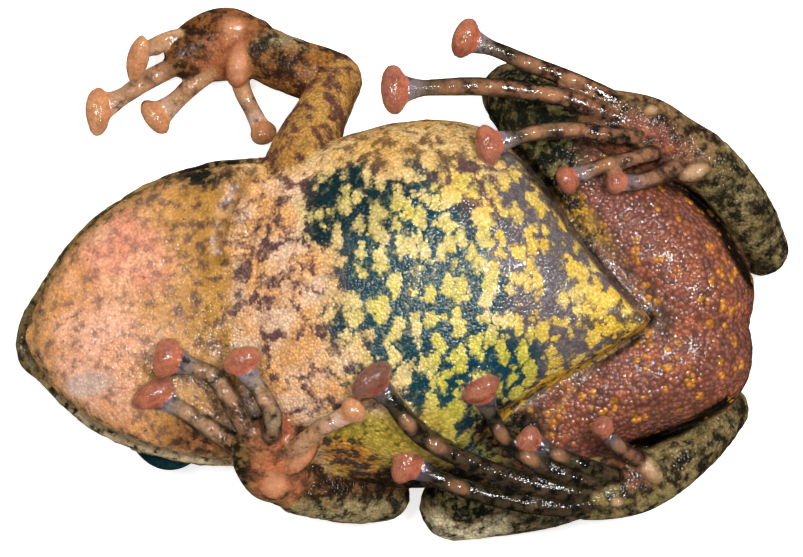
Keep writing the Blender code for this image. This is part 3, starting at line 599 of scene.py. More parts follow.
def add_trunk(flesh):
    """Back, flanks and rump, with the belly's fuller sack over them ending in its fold."""
    rings = [
        slice_ring(
            x, between(MIDLINE, x), between(column(TRUNK, 1), x), TRUNK_WIDEST_Z,
            between(column(TRUNK, 2), x), TRUNK_BACK_Z, (2.3, 2.7), 120,
        )
        for x in spread(NECK_X - SEAM, TRUNK[-1][0], 0.4)
    ]
    rump = Vector((RUMP_TIP[0], between(MIDLINE, RUMP_TIP[0]), RUMP_TIP[1]))
    flesh.shell("torso", rings, mean(rings[0]), rump)
    rings = [
        slice_ring(
            x, between(column(BELLY, 1), x), between(column(BELLY, 2), x), BELLY_WIDEST_Z,
            between(column(BELLY, 3), x), BELLY_FLOOR_Z, (2.2, 2.0), 120,
        )
        for x in spread(BELLY[0][0], BELLY[-1][0], 0.3)
    ]
    flesh.shell("torso", rings, mean(rings[0]), Vector(BELLY_TIP))


def make_flesh():
    flesh = Flesh()
    add_head(flesh)
    add_trunk(flesh)
    for name, stations in LIMBS.items():
        flesh.limb(name, stations)
        for place, long, broad, high, turn in CUSHIONS.get(name, ()):
            flesh.bead(name, place, (long, broad, high), turn_deg=turn)
    digits = {name: add_digit(flesh, name, digit) for name, digit in DIGITS.items()}
    return flesh, digits


def put_in_scene(name, data):
    """An object of a mesh, a lamp or a camera."""
    made = bpy.data.objects.new(name, data)
    bpy.context.scene.collection.objects.link(made)
    return made


def object_from(name, points, faces):
    """An object in metres from points in millimetres."""
    mesh = bpy.data.meshes.new(name)
    mesh.from_pydata([tuple(c * MM for c in p) for p in points], [], faces)
    mesh.update()
    return put_in_scene(name, mesh)


def settle(made):
    """Replaces an object's mesh with what its modifiers make of it."""
    graph = bpy.context.evaluated_depsgraph_get()
    result = bpy.data.meshes.new_from_object(made.evaluated_get(graph), depsgraph=graph)
    made.modifiers.clear()
    old, made.data = made.data, result
    bpy.data.meshes.remove(old)


def drop_crumbs(skin):
    """Deletes the specks that fusing leaves in tight folds: whatever isn't joined to the topmost point."""
    bm = bmesh.new()
    bm.from_mesh(skin.data)
    top = max(bm.verts, key=lambda vert: vert.co.z)
    joined = {top}
    front = [top]
    for vert in front:
        for edge in vert.link_edges:
            other = edge.other_vert(vert)
            if other not in joined:
                joined.add(other)
                front.append(other)
    bmesh.ops.delete(bm, geom=[vert for vert in bm.verts if vert not in joined], context="VERTS")
    bm.to_mesh(skin.data)
    bm.free()


def fused(flesh):
    """All the forms fused into one skin, smoothed, and thinned to its share of triangles."""
    skin = object_from("skin", flesh.points, flesh.faces)
    remesh = skin.modifiers.new("fuse", "REMESH")
    remesh.mode = "VOXEL"
    remesh.voxel_size = VOXEL * MM
    soften = skin.modifiers.new("soften", "SMOOTH")
    soften.factor = 0.5
    soften.iterations = 4
    settle(skin)
    triangles = sum(len(p.vertices) - 2 for p in skin.data.polygons)
    if triangles > SKIN_TRIANGLES:
        thin = skin.modifiers.new("thin", "DECIMATE")
        thin.ratio = SKIN_TRIANGLES / triangles
        settle(skin)
    drop_crumbs(skin)
    return skin


def read_points(mesh):
    """Positions in millimetres and normals of a mesh's points."""
    count = len(mesh.vertices)
    places = np.empty(count * 3)
    mesh.vertices.foreach_get("co", places)
    normals = np.empty(count * 3)
    mesh.vertex_normals.foreach_get("vector", normals)
    return places.reshape(-1, 3) / MM, normals.reshape(-1, 3)


def write_points(mesh, places):
    mesh.vertices.foreach_set("co", (places * MM).ravel())
    mesh.update()


def step(value, low, high):
    """0 below low, 1 above high, and a smooth rise between. With low above high it falls."""
    t = np.clip((value - low) / (high - low), 0.0, 1.0)
    return t * t * (3 - 2 * t)


def patch(places, centre, radii, turn_deg=0.0, soft=0.35):
    """1 inside an oval in plan, falling to 0 over the soft share of its radius outside it."""
    turn = math.radians(turn_deg)
    x = places[:, 0] - centre[0]
    y = places[:, 1] - centre[1]
    u = (x * math.cos(turn) + y * math.sin(turn)) / radii[0]
    v = (y * math.cos(turn) - x * math.sin(turn)) / radii[1]
    return step(np.hypot(u, v), 1 + soft, 1 - soft)


def line_distance(places, line):
    """Distance in plan from each place to a line of (x, y) points."""
    best = np.full(len(places), 1e9)
    for (x0, y0), (x1, y1) in zip(line, line[1:]):
        run = np.array((x1 - x0, y1 - y0))
        offset = places[:, :2] - np.array((x0, y0))
        t = np.clip(offset @ run / (run @ run), 0.0, 1.0)
        best = np.minimum(best, np.linalg.norm(offset - t[:, None] * run, axis=1))
    return best


class Regions:
    """Which part each point of the skin belongs to, with soft borders."""

    def __init__(self, skin, flesh):
        tree = BVHTree.FromPolygons([Vector(p) for p in flesh.points], flesh.faces)
        places, _ = read_points(skin.data)
        self.names = sorted(set(flesh.parts))
        index = {name: i for i, name in enumerate(self.names)}
        nearest = [index[flesh.parts[tree.find_nearest(Vector(p))[2]]] for p in places]
        self.hard = np.array(nearest)
        edges = np.empty(len(skin.data.edges) * 2, dtype=np.int64)
        skin.data.edges.foreach_get("vertices", edges)
        self.edges = edges.reshape(-1, 2)
        self.degree = np.bincount(edges, minlength=len(places)).astype(float)

    def soften(self, values, rounds):
        """Values spread over the skin by averaging each point with its neighbours."""
        a, b = self.edges.T
        for _ in range(rounds):
            total = np.bincount(a, values[b], len(values)) + np.bincount(b, values[a], len(values))
            values = 0.5 * values + 0.5 * total / self.degree
        return values

    def of(self, prefix, rounds=6):
        """How far each point belongs to the parts whose names start with prefix."""
        chosen = [i for i, name in enumerate(self.names) if name.startswith(prefix)]
        return self.soften(np.isin(self.hard, chosen).astype(float), rounds)


def belly_edge(places):
    """How far each place lies inside the belly's outline in plan, in millimetres. Outside is negative."""
    middle = np.interp(places[:, 0], [row[0] for row in BELLY], [row[1] for row in BELLY])
    half_width = np.interp(places[:, 0], [row[0] for row in BELLY], [row[2] for row in BELLY])
    return np.where(places[:, 0] > BELLY[-1][0], -1.0, half_width - np.abs(places[:, 1] - middle))


def sculpt(skin, regions):
    """Eases throat into chest, presses in the folds and nostrils, raises warts, and flattens what rests."""
    places, normals = read_points(skin.data)
    facing = step(normals[:, 2], 0.0, 0.5)
    push = np.zeros(len(places))
    digits = regions.of(("finger", "toe", "hand", "foot"), 3)
    join = step(np.abs(places[:, 0] - CHEST_JOIN_X), 2.0, 1.0) * facing * (1 - digits)
    eased = np.column_stack([regions.soften(places[:, k], CHEST_JOIN_ROUNDS) for k in range(3)])
    places = places + join[:, None] * (eased - places)
    for line, depth, half_width in FOLDS:
        away = line_distance(places, line)
        banks = 0.4 * np.exp(-(((away - 2.2 * half_width) / half_width) ** 2))
        push -= depth * (np.exp(-((away / half_width) ** 2)) - banks) * facing * (1 - digits)
    for side in (-1, 1):
        pit = np.array(head_place(NOSTRIL["x"], side * NOSTRIL["side"], NOSTRIL["level"]))
        away = np.linalg.norm(places - pit, axis=1)
        push -= NOSTRIL["depth"] * np.exp(-((away / NOSTRIL["radius"]) ** 2))
    rough = np.array([noise.fractal(Vector(p) * 0.8, 0.6, 2.2, 3) for p in places])
    bumps = np.array([noise.noise(Vector(p) * 2.6) for p in places])
    limbs = regions.of(("upper", "fore", "shank", "tarsus", "head"), 6)
    belly = regions.of(("torso", "thigh"), 6)
    push += (1 - digits) * (0.05 * rough + bumps * (0.05 * limbs + 0.02 * belly))
    places = places + normals * push[:, None]
    places[:, 2] = np.maximum(places[:, 2], 0.0)
    write_points(skin.data, places)


def shelter(skin, regions):
    """How far each point lies down in a fold: 0 in the open, near 1 at the bottom of a crevice. The skin is
    darkened by it as painted shade.
    """
    places, normals = read_points(skin.data)
    tree = BVHTree.FromPolygons([Vector(p) for p in places], [tuple(f.vertices) for f in skin.data.polygons])
    across = np.cross(normals, np.where(np.abs(normals[:, :1]) < 0.8, [[1.0, 0.0, 0.0]], [[0.0, 1.0, 0.0]]))
    across /= np.linalg.norm(across, axis=1)[:, None]
    along = np.cross(normals, across)
    shut = np.zeros(len(places))
    for k in range(SHELTER_RAYS):
        lean = math.sqrt((k + 0.5) / SHELTER_RAYS)
        turn = k * math.pi * (3 - math.sqrt(5))
        way = (
            normals * math.sqrt(1 - lean * lean)
            + across * (lean * math.cos(turn)) + along * (lean * math.sin(turn))
        )
        start = places + normals * SHELTER_LIFT
        for i, (here, ahead) in enumerate(zip(start.tolist(), way.tolist())):
            reach = tree.ray_cast(here, ahead, SHELTER_REACH)[3]
            if reach is not None:
                shut[i] += 1 - reach / SHELTER_REACH
    return regions.soften(np.minimum(1.0, shut / (SHELTER_RAYS * SHELTER_FULL)), 2)


def linear(hex_colour):
    """A hex colour as it looks in the photo, turned to linear red, green and blue."""
    shares = [int(hex_colour[k : k + 2], 16) / 255 for k in (1, 3, 5)]
    return np.array([c / 12.92 if c <= 0.04045 else ((c + 0.055) / 1.055) ** 2.4 for c in shares])


def opaque(hex_colour):
    return (*linear(hex_colour), 1.0)


# What most of the skin is without: islands of ground, orange dots and large granules.
PLAIN = {"cells": 0.0, "fleck": 0.0, "coarse": 0.0}


class Paint:
    """The skin's fields, one value or colour a point, laid on region by region."""

    def __init__(self, count):
        self.count = count
        self.fields = {}

    def lay(self, weight, ground=None, wash=None, blotch=None, bare=None, **others):
        """Blends the given values in by weight, and leaves the rest as they are. A colour is a hex string."""
        weight = np.broadcast_to(weight, (self.count,))
        tones = {"ground": ground, "wash": wash, "blotch": blotch, "bare": bare}
        for name, value in {**tones, **others}.items():
            if value is None:
                continue
            colour = isinstance(value, str)
            old = self.fields.get(name, np.zeros((self.count, 3) if colour else self.count))
            share = weight[:, None] if colour else weight
            self.fields[name] = old * (1 - share) + (linear(value) if colour else value) * share

    def write(self, mesh):
        for name, values in self.fields.items():
            if values.ndim == 2:
                attribute = mesh.attributes.new(name, "FLOAT_COLOR", "POINT")
                rgba = np.column_stack([values, np.ones(self.count)])
                attribute.data.foreach_set("color", rgba.ravel().astype(np.float32))
            else:
                attribute = mesh.attributes.new(name, "FLOAT", "POINT")
                attribute.data.foreach_set("value", values.astype(np.float32))


def stirred(places):
    """The places moved about by half a millimetre or so, which makes the border of a patch ragged."""
    noise.seed_set(STIR_SEED)
    return places + 1.3 * np.array([noise.noise_vector(Vector(p) * 0.55) for p in places])


def past_throat(places):
    """1 on the chest and 0 on the throat, across a ragged border."""
    wander = np.array([noise.noise(Vector(p) * 0.7) + 0.5 * noise.noise(Vector(p) * 1.9) for p in places])
    return step(places[:, 0] + 1.3 * wander, -11.2, -9.2)


def paint_trunk(coat, regions, places, up, chest):
    """The blotched belly and chest, and the maroon thighs with what shows of the rump between them."""
    x, y, z = places.T
    loose = stirred(places)
    torso = np.maximum(regions.of("torso"), regions.of("lower_jaw", 3) * chest)
    coat.lay(torso, "#A98A58", "#8C7348", "#4A3A26", 0.5, speck=0.3, grain=0.9)
    belly = torso * step(up, -0.2, 0.25)
    coat.lay(belly, "#EEAE6E", "#F6CAA6", "#6C4A48", 0.535, soft=0.35, small=0.3, speck=0.35, grain=0.6)
    side = belly * step(y, 4.6, 7.2)
    coat.lay(side, "#E2B062", "#E6BE82", "#86623C", 0.54, small=0.5, speck=0.45)
    centre = belly * patch(loose, (2.9, -0.9), (7.0, 7.2), 24, 0.22)
    coat.lay(centre, "#EED490", "#DEC85E", "#1B454C", 0.48, soft=0.4, cells=0.8, small=0.15, speck=0.1)
    dark_corner = belly * patch(loose, (-3.1, 4.1), (2.7, 2.4), 0, 0.3)
    coat.lay(dark_corner, "#E4C684", "#D2BC70", "#173034", 0.46, soft=0.4, cells=0.6)
    tawny = belly * patch(loose, (5.6, 4.8), (3.8, 2.2), 0, 0.3)
    coat.lay(tawny, "#FACC64", blotch="#70544E", bare=0.51, cells=0.6)
    greyed = belly * step(loose[:, 0], 4.6, 6.6) * step(y, -9.0, -7.0)
    coat.lay(greyed, "#E6C66A", "#F0C450", "#6C6264", 0.465, cells=0.8, small=0.15, speck=0.1)
    green = belly * step(x, 0.5, 2.5) * step(y, -2.5, -4.5) * step(x, 9.0, 7.0)
    coat.lay(green, "#CFC24C", "#D8C858", "#14404E", 0.49, cells=0.8)
    tip = belly * patch(places, (12.3, -2.4), (1.9, 1.5), -10, 0.3)
    coat.lay(tip, "#F4C442", "#F8CC5C", "#6B5840", 0.58)
    low = torso * step(up, -0.2, 0.2) * step(y, -7.2, -8.6) * step(x, -5.5, -3.5) * step(x, 3.6, 2.2)
    coat.lay(low, "#B79C3A", "#C4A848", "#5E5422", 0.6, cells=0.0, small=0.8, speck=0.2, coarse=1.0)
    # The low right flank between the arm and the knee is painted near-black as shade.
    shaded_flank = torso * step(y, -10.6, -11.4) * step(z, 9.0, 7.6) * step(x, -3.5, -2.5)
    coat.lay(shaded_flank, "#3A2E1E", "#453622", "#17130D", 0.45)
    armpit = torso * patch(places, (-3.0, -10.6), (1.7, 0.9), -25, 0.4)
    coat.lay(armpit, "#D8923C", "#C9853A", "#4A3C34", 0.5, soft=0.2, small=0.8)
    rim = belly * step(belly_edge(places), 1.0, 0.55) * step(x, 6.0, 8.0)
    coat.lay(rim * np.where(y > -2.4, 1.0, 0.0), "#4E3E3A", "#5A4A42", "#2C2424", 0.5, cells=0.0)
    thigh = np.maximum(regions.of("thigh"), torso * step(belly_edge(places), 0.1, -0.15) * step(x, 5.0, 7.0))
    coat.lay(
        thigh, "#945A48", "#B06444", "#744C44", 0.53, soft=1.0, cells=0.0, small=0.5, speck=0.15,
        fleck=1.0, grain=1.0, coarse=1.0,
    )
    near_belly = thigh * step(line_distance(places, LEFT_BELLY_FOLD), 1.9, 0.8) * step(up, 0.0, 0.4)
    coat.lay(near_belly * 0.8, "#7C6252", "#86604E", "#4A3E34", 0.52, soft=0.6)
    groin = thigh * step(line_distance(places, LEFT_BELLY_FOLD), 1.6, 0.8) * step(y, 1.0, 2.4)
    coat.lay(groin, "#F0B83A", "#B48A44", "#2E2A26", 0.5, soft=0.2, fleck=0.4, coarse=0.4)
    knee = thigh * np.maximum(step(x, 11.5, 9.5) * step(y, 4.5, 6.0), step(x, 8.0, 6.0) * step(y, -8.0, -9.5))
    coat.lay(
        knee, "#665C38", "#8C7E4E", "#1A1E16", 0.44, soft=0.4, small=0.8, speck=0.5, fleck=0.0, grain=0.6,
        coarse=0.0,
    )
    # The front of the right thigh, deep under the belly's edge and the toes, is darkened as painted shade
    # over its own spots.
    front = np.maximum(thigh, torso) * patch(places, (5.9, -8.9), (2.3, 1.9), -20, 0.4) * step(y, -6.6, -7.6)
    coat.lay(
        front, "#7A6A44", "#8E7A4C", "#1A1A16", 0.44, soft=0.3, cells=0.0, small=0.7, fleck=0.3,
        coarse=0.5,
    )
    lower_rim = belly * step(belly_edge(places), 0.7, 0.4) * step(belly_edge(places), -0.05, 0.1)
    lower_rim = lower_rim * step(x, 4.0, 6.0) * step(y, -1.6, -2.6)
    coat.lay(lower_rim, "#F0B828", "#E0A430", "#3A3430", 0.53, cells=0.0, small=1.0)
    # Each fold's groove is painted dark as shade.
    for line, depth, _ in FOLDS:
        crease = step(line_distance(places, line), 0.32, 0.08) * step(up, 0.1, 0.4)
        coat.lay(crease * min(1.0, depth * 3) * 0.75 * np.maximum(thigh, belly), "#3C3226", "#4A3A2A")


def paint_head(coat, regions, places, up, chest):
    """A pale pinkish throat inside a speckled olive lip."""
    x, y = places.T[:2]
    jaw = regions.of("lower_jaw", 3) * (1 - chest)
    coat.lay(
        jaw, "#DC9A54", "#F2B080", "#9A705C", 0.565, soft=0.7, small=0.75, speck=0.4, grain=0.42, **PLAIN
    )
    coat.lay(jaw * step(x, -14.8, -11.5), "#A87830", "#C48E42", "#6E4C3C", 0.55, soft=0.5, speck=0.5)
    pinkish = jaw * patch(places, (-17.2, -5.0), (3.4, 3.6), 0, 0.6)
    coat.lay(pinkish, "#E6A47A", "#F4B696")
    middle = jaw * patch(places, (-14.2, 1.2), (2.6, 4.2), 10, 0.5)
    coat.lay(middle, "#BE8840", "#D29A58", "#80604C", 0.545, soft=0.6)
    rosy = jaw * patch(places, (-16.5, 1.6), (3.4, 2.2), -35, 0.5)
    coat.lay(rosy, "#F09E7C", "#F6B890", "#BC8068")
    lilac = jaw * patch(places, (-18.2, -6.4), (1.5, 0.7), 12, 0.35)
    coat.lay(lilac, "#D8B4A0", "#CFB0A4", "#A48C84", 0.75, speck=0.1)
    under_fingers = jaw * patch(places, (-13.0, -6.5), (2.4, 2.6), 0, 0.5)
    coat.lay(under_fingers, "#C48C4C", "#CF9A5E", "#8A5E3C")
    by_hand = jaw * patch(places, (-11.6, -9.6), (1.9, 1.7), 0, 0.5)
    coat.lay(by_hand, "#8E5E38", "#A86E46", "#3E281C", 0.5, soft=0.6)
    edge = jaw * step(up, 0.86, 0.5)
    coat.lay(edge, "#C0905A", "#AE804C", "#6A4E34", 0.54, soft=0.5, speck=0.75)
    corner = np.maximum(jaw, regions.of("head", 3)) * patch(places, (-10.9, 6.0), (2.4, 0.9), 8, 0.4)
    coat.lay(corner, "#7C683C", "#8E7044", "#1B1E16", 0.42, soft=0.2, speck=0.7)
    head = regions.of("head", 3) * (1 - corner)
    coat.lay(
        head, "#8F7446", "#A98655", "#3A2F20", 0.56, soft=0.5, small=1.0, speck=0.9, grain=0.4, **PLAIN
    )
    left_lip = head * step(y, -5.0, -3.5) * step(up, 0.1, 0.5) * step(x, -21.2, -20.0)
    coat.lay(left_lip, "#A8824E", "#8E7444", "#4A3E26", 0.52, speck=0.8)
    coat.lay(head * step(y, -5.5, -7.5) * step(up, -0.3, 0.3), "#B8A078", "#C6AE88", speck=0.7)
    coat.lay(head * step(x, -20.8, -21.6), "#6A5A38", "#7C6840")
    coat.lay(head * step(up, -0.2, -0.6), "#7A6440", "#8C6E44", "#30281C", 0.5, small=0.3)


def paint_limbs(coat, regions, places, up):
    """Arms, shanks and heels, mottled black-brown, and the palms and soles."""
    x, y = places.T[:2]
    right_arm = regions.of(("forearm_right", "upper_arm_right"))
    coat.lay(
        regions.of(("upper_arm", "forearm")), "#B58240", "#C9903C", "#4A3020", 0.5, matt=0.6, soft=0.5,
        small=0.7, speck=0.5, grain=0.7, **PLAIN,
    )
    coat.lay(regions.of("upper_arm_left"), "#B88440", "#C6944A", "#643E36", 0.515, small=0.2)
    coat.lay(regions.of("forearm_left"), "#905C30", "#A66C30", "#3C261A", 0.485, small=0.55)
    coat.lay(regions.of("forearm_left") * step(y, 12.6, 13.6), "#A08C64", blotch="#2E2A20", bare=0.5)
    coat.lay(right_arm, "#66442C", "#745032", "#281A12", 0.46, small=0.65)
    coat.lay(right_arm * step(y, -12.4, -13.6), "#A08E62", "#8E7A50", "#302A1E", 0.53)
    coat.lay(
        regions.of(("shank", "tarsus")), "#988458", "#7E6A3E", "#26221A", 0.49, small=0.45, soft=0.6,
        speck=0.6, grain=0.7, matt=0.4, **PLAIN,
    )
    pale_knee = regions.of("shank_right") * patch(places, (3.8, -14.4), (2.4, 1.4), 0, 0.4)
    coat.lay(pale_knee, "#ECDCB2", "#DCC89C", "#343024", 0.53)
    # The crevices between thigh and shank are painted near-black as shade, with no mucus film.
    for line in CREVICE_SHADE_LINES:
        crevice = regions.of(("thigh", "shank", "tarsus")) * step(line_distance(places, line), 0.55, 0.2)
        coat.lay(crevice, "#1C1510", "#1C1510", bare=0.9, matt=1.0)
    # The soles are dark, with a reddish patch each.
    coat.lay(
        regions.of("foot"), "#786036", "#847044", "#262016", 0.5, soft=0.9, small=0.9, speck=0.5,
        grain=0.45, wet=0.35, matt=0.3, **PLAIN,
    )
    coat.lay(regions.of("foot_left") * step(up, 0.1, 0.6), "#7E5F3E", "#8C6C48", "#2A2018", 0.51, matt=0.5)
    sole = regions.of("foot_left") * patch(places, (13.6, 7.6), (3.0, 1.5), -22, 0.5) * step(up, 0.2, 0.7)
    coat.lay(sole, "#864638", "#96523E", "#3C241C", 0.56, fleck=0.3, matt=0.85)
    coat.lay(regions.of("foot_right"), "#8A7848", "#988458", "#2A241A", 0.5)
    reddish = regions.of("foot_right") * patch(places, (13.0, -11.4), (1.6, 1.0), -30, 0.5)
    coat.lay(reddish, "#7E4E38", "#8C563E")
    coat.lay(
        regions.of("hand"), "#94643A", "#7C502C", "#302016", 0.5, soft=0.5, small=0.8, speck=0.5,
        grain=0.4, wet=0.35, matt=0.4, **PLAIN,
    )
    palm = regions.of("hand_left") * patch(places, (-9.9, 12.6), (2.0, 2.2), 0, 0.5) * step(up, 0.1, 0.5)
    coat.lay(palm, "#A25C38", "#B06A40", "#824832", 0.59, soft=0.9, speck=0.4, matt=0.6)
    outer_palm = regions.of("hand_left") * patch(places, (-12.3, 13.7), (1.7, 1.3), 20, 0.4)
    coat.lay(outer_palm, "#6E421C", blotch="#302216", bare=0.48, soft=0.5, matt=0.7)
    right = regions.of("hand_right")
    coat.lay(right * step(up, 0.3, 0.8), "#AC7048", "#BE6E48", "#6C4230", 0.53, soft=0.8, speck=0.4)
    coat.lay(right * patch(places, (-7.4, -8.6), (1.1, 1.2), 0, 0.5), "#A8583E", "#B4624A")
    edges = right * np.maximum(step(x, -8.3, -9.3), step(up, 0.55, 0.2))
    coat.lay(edges, "#7E6238", "#6C5430", "#241C13", 0.46, soft=0.4)
    for name, rows in CUSHIONS.items():
        of_part = regions.of(name)
        foot = name.startswith("foot")
        for place, long, broad, _, turn in rows:
            top = of_part * patch(places, place, (long * 0.7, broad * 0.7), turn, 0.6) * step(up, 0.1, 0.5)
            tones = ("#B08C6A", "#BC9472", "#94745A") if foot else ("#C48460", "#C88C66", "#A86E4C")
            coat.lay(top, *tones, 0.66, speck=0.12, grain=0.15, wet=0.7)


# The tones of each kind of digit, as ground, wash, blotch and bare. The tones for a digit's sides are darker,
# as painted shade.
SLIM_FINGER = {
    "stalk": ("#8C7454", "#9C8A6C", "#2E2619", 0.52),
    "root": ("#8A6248", "#A06C50"),
    "shaded_flank": ("#332A1E", "#443828", "#15110D"),
    "knuckle": ("#C09270", "#B98A68"),
    "band": ("#9A8A80", "#7C7078", "#3C3438"),
    "halo": ("#6C6478", "#7A6C7E"),
    "disc": ("#B87050", "#A86A54", "#8E4C3C"),
    "disc_root": ("#C46A4C", "#C87454"),
}
PALE_FINGER = {
    **SLIM_FINGER,
    "stalk": ("#BC8A60", "#C99A70", "#4A3A2A", 0.62),
    "band": ("#C9A184", "#C0A090", "#5A4A48"),
    "disc": ("#CE8C5E", "#D6986C", "#B8805A"),
    "disc_root": ("#D48E62", "#DA9668"),
}
LEFT_TOE = {
    **SLIM_FINGER,
    "stalk": ("#5E4C3A", "#746048", "#221B15", 0.5),
    "root": ("#825A42", "#966548"),
    "shaded_flank": ("#2A2119", "#382C20", "#15110D"),
    "knuckle": ("#A87650", "#B27E58"),
}
RIGHT_TOE = {
    **LEFT_TOE,
    "stalk": ("#383020", "#4A402C", "#14110C", 0.5),
    "root": ("#423626", "#50402E"),
    "band": ("#60564C", "#544C54", "#2A2428"),
    "halo": ("#4C465A", "#5A5060"),
}
DULL_DISC = {"disc": ("#86584A", "#7C5C4E", "#74483C"), "disc_root": ("#AC5E48", "#B26850")}


def digit_tones(name):
    """The left hand and the right thumb are pale, and the right foot lies in the belly's shade."""
    if name.startswith("finger_left") or name == "finger_right_1":
        return PALE_FINGER
    if name.startswith("finger"):
        return SLIM_FINGER
    if name.startswith("toe_left"):
        return LEFT_TOE
    return {**RIGHT_TOE, **DULL_DISC} if name == "toe_right_4" else RIGHT_TOE


def paint_digits(coat, regions, places, normals, digits):
    """Dark wet stalks with pale knuckle tubercles, a violet grey band, and smooth reddish disc cushions. The
    sides of dark stalks are painted darker as shade.
    """
    up = normals[:, 2]
    for name, digit in digits.items():
        own = regions.of(name, 2)
        near = np.where(own > 0.01)[0]
        line = np.array([tuple(p) for p in digit["line"]])
        gaps = np.linalg.norm(places[near, None, :] - line[None, :, :], axis=2)
        to_tip = np.full(len(places), 99.0)
        to_tip[near] = np.array(digit["to_tips"])[gaps.argmin(axis=1)]
        breadth, length = DIGITS[name].pad
        tones = digit_tones(name)
        coat.lay(own, *tones["stalk"], soft=0.9, small=1.0, speck=0.4, grain=0.3, wet=0.6, matt=0.0, **PLAIN)
        coat.lay(own * step(to_tip, 4.4, 6.0) * step(up, 0.2, 0.6), *tones["root"])
        if name in ("toe_left_1", "toe_left_2", "toe_right_1"):
            coat.lay(own * 0.75, "#8E6248", "#A07054", "#4A342A", 0.56)
        if tones is not PALE_FINGER:
            # A dark digit's sides are painted darker as shade.
            coat.lay(own * step(up, 0.8, 0.45) * 0.85, *tones["shaded_flank"])
        for knob in digit["knobs"]:
            offset = places - np.array(knob)
            nearest = np.linalg.norm(line - np.array(knob), axis=1).argmin()
            way = line[min(nearest + 1, len(line) - 1)] - line[max(nearest - 1, 0)]
            along = offset @ (way / np.linalg.norm(way))
            away = np.sqrt(np.maximum(0.0, (offset**2).sum(axis=1) - 0.55 * along**2))
            reach = 0.62 if name.startswith("toe_right") else 0.8
            coat.lay(
                own * step(away, reach, 0.2) * 0.75, *tones["knuckle"], "#8A6450", 0.6,
                speck=0.3, grain=0.15, wet=0.8,
            )
        centre, ahead, across, upward = (np.array(v) for v in digit["pad"])
        offset = places - centre
        forward, side = offset @ ahead, offset @ across
        facing = normals @ upward
        reach = np.hypot(forward / length, side / breadth)
        neck = step(forward, -0.8 * length, -1.1 * length) * step(to_tip, 2.0 * length + 1.5, 2.0 * length)
        band = own * neck
        coat.lay(band * step(facing, -0.2, 0.25) * 0.85, *tones["band"], 0.62, speck=0.2)
        if tones is not PALE_FINGER:
            halo = own * step(reach, 1.5, 1.2) * step(forward, 0.0, -0.6 * length) * step(facing, -0.3, 0.2)
            coat.lay(halo * 0.7, *tones["halo"])
        pad = own * step(reach, 1.22, 1.02)
        if tones is not PALE_FINGER:
            pad = pad * step(facing, -0.55, -0.1)
        coat.lay(pad, *tones["disc"], 0.56, soft=0.9, small=0.5, speck=0.2, grain=0.35, wet=0.8)
        coat.lay(pad * step(forward, -0.1 * length, -0.8 * length), *tones["disc_root"])


def paint(skin, regions, digits, shut):
    """Lays the frog's colours and textures on its regions.

    ground and wash are two neighbouring tones that drift into each other, and blotch is the colour of the
    pattern over them. bare is the level above which blotches show, so a high value leaves more ground, and
    soft blurs their edges. small makes the blotches finer, and cells makes the ground round islands between
    them. speck, fleck and grain are the amounts of dark specks, orange dots and granules, and coarse makes
    the granules larger. wet makes a place smooth and shiny, and matt thins its film of mucus. The fold depth,
    set last, tells how deep in a fold a point lies, and the shader darkens it there as painted shade.
    """
    places, normals = read_points(skin.data)
    coat = Paint(len(places))
    coat.lay(
        1.0, "#7C6542", "#8A6E48", "#2E2619", 0.5, soft=0.3, small=0.5, speck=0.4, grain=0.6, wet=0.0,
        matt=0.0, **PLAIN,
    )
    up = normals[:, 2]
    chest = past_throat(places)
    paint_trunk(coat, regions, places, up, chest)
    paint_head(coat, regions, places, up, chest)
    paint_limbs(coat, regions, places, up)
    paint_digits(coat, regions, places, normals, digits)
    # How deep in a fold each point lies; the shader darkens the skin there as painted shade.
    coat.fields["shut"] = shut
    coat.write(skin.data)


def add_node(tree, kind, inputs=(), out=0, **settings):
    """Adds a shader node with its settings and gives one of its outputs.

    The inputs are values, or sockets to link to, in order or by name or number.
    """
    node = tree.nodes.new("ShaderNode" + kind)
    for name, value in settings.items():
        setattr(node, name, value)
    for key, value in inputs.items() if isinstance(inputs, dict) else enumerate(inputs):
        if isinstance(value, bpy.types.NodeSocket):
            tree.links.new(value, node.inputs[key])
        else:
            node.inputs[key].default_value = value
    return node.outputs[out]


def new_material(name, **values):
    """A material, its node tree and its shader, whose sockets are set by their names with _ for spaces."""
    made = bpy.data.materials.new(name)
    made.use_nodes = True
    shader = made.node_tree.nodes["Principled BSDF"]
    for key, value in values.items():
        shader.inputs[key.replace("_", " ")].default_value = value
    return made, made.node_tree, shader


# Settings that many nodes share.
TIMES = {"operation": "MULTIPLY"}
TIMES_PLUS = {"operation": "MULTIPLY_ADD"}
LESS = {"operation": "SUBTRACT"}
EASED = {"interpolation_type": "SMOOTHSTEP"}
COLOUR = {"data_type": "RGBA"}
PLACE = {"data_type": "VECTOR"}


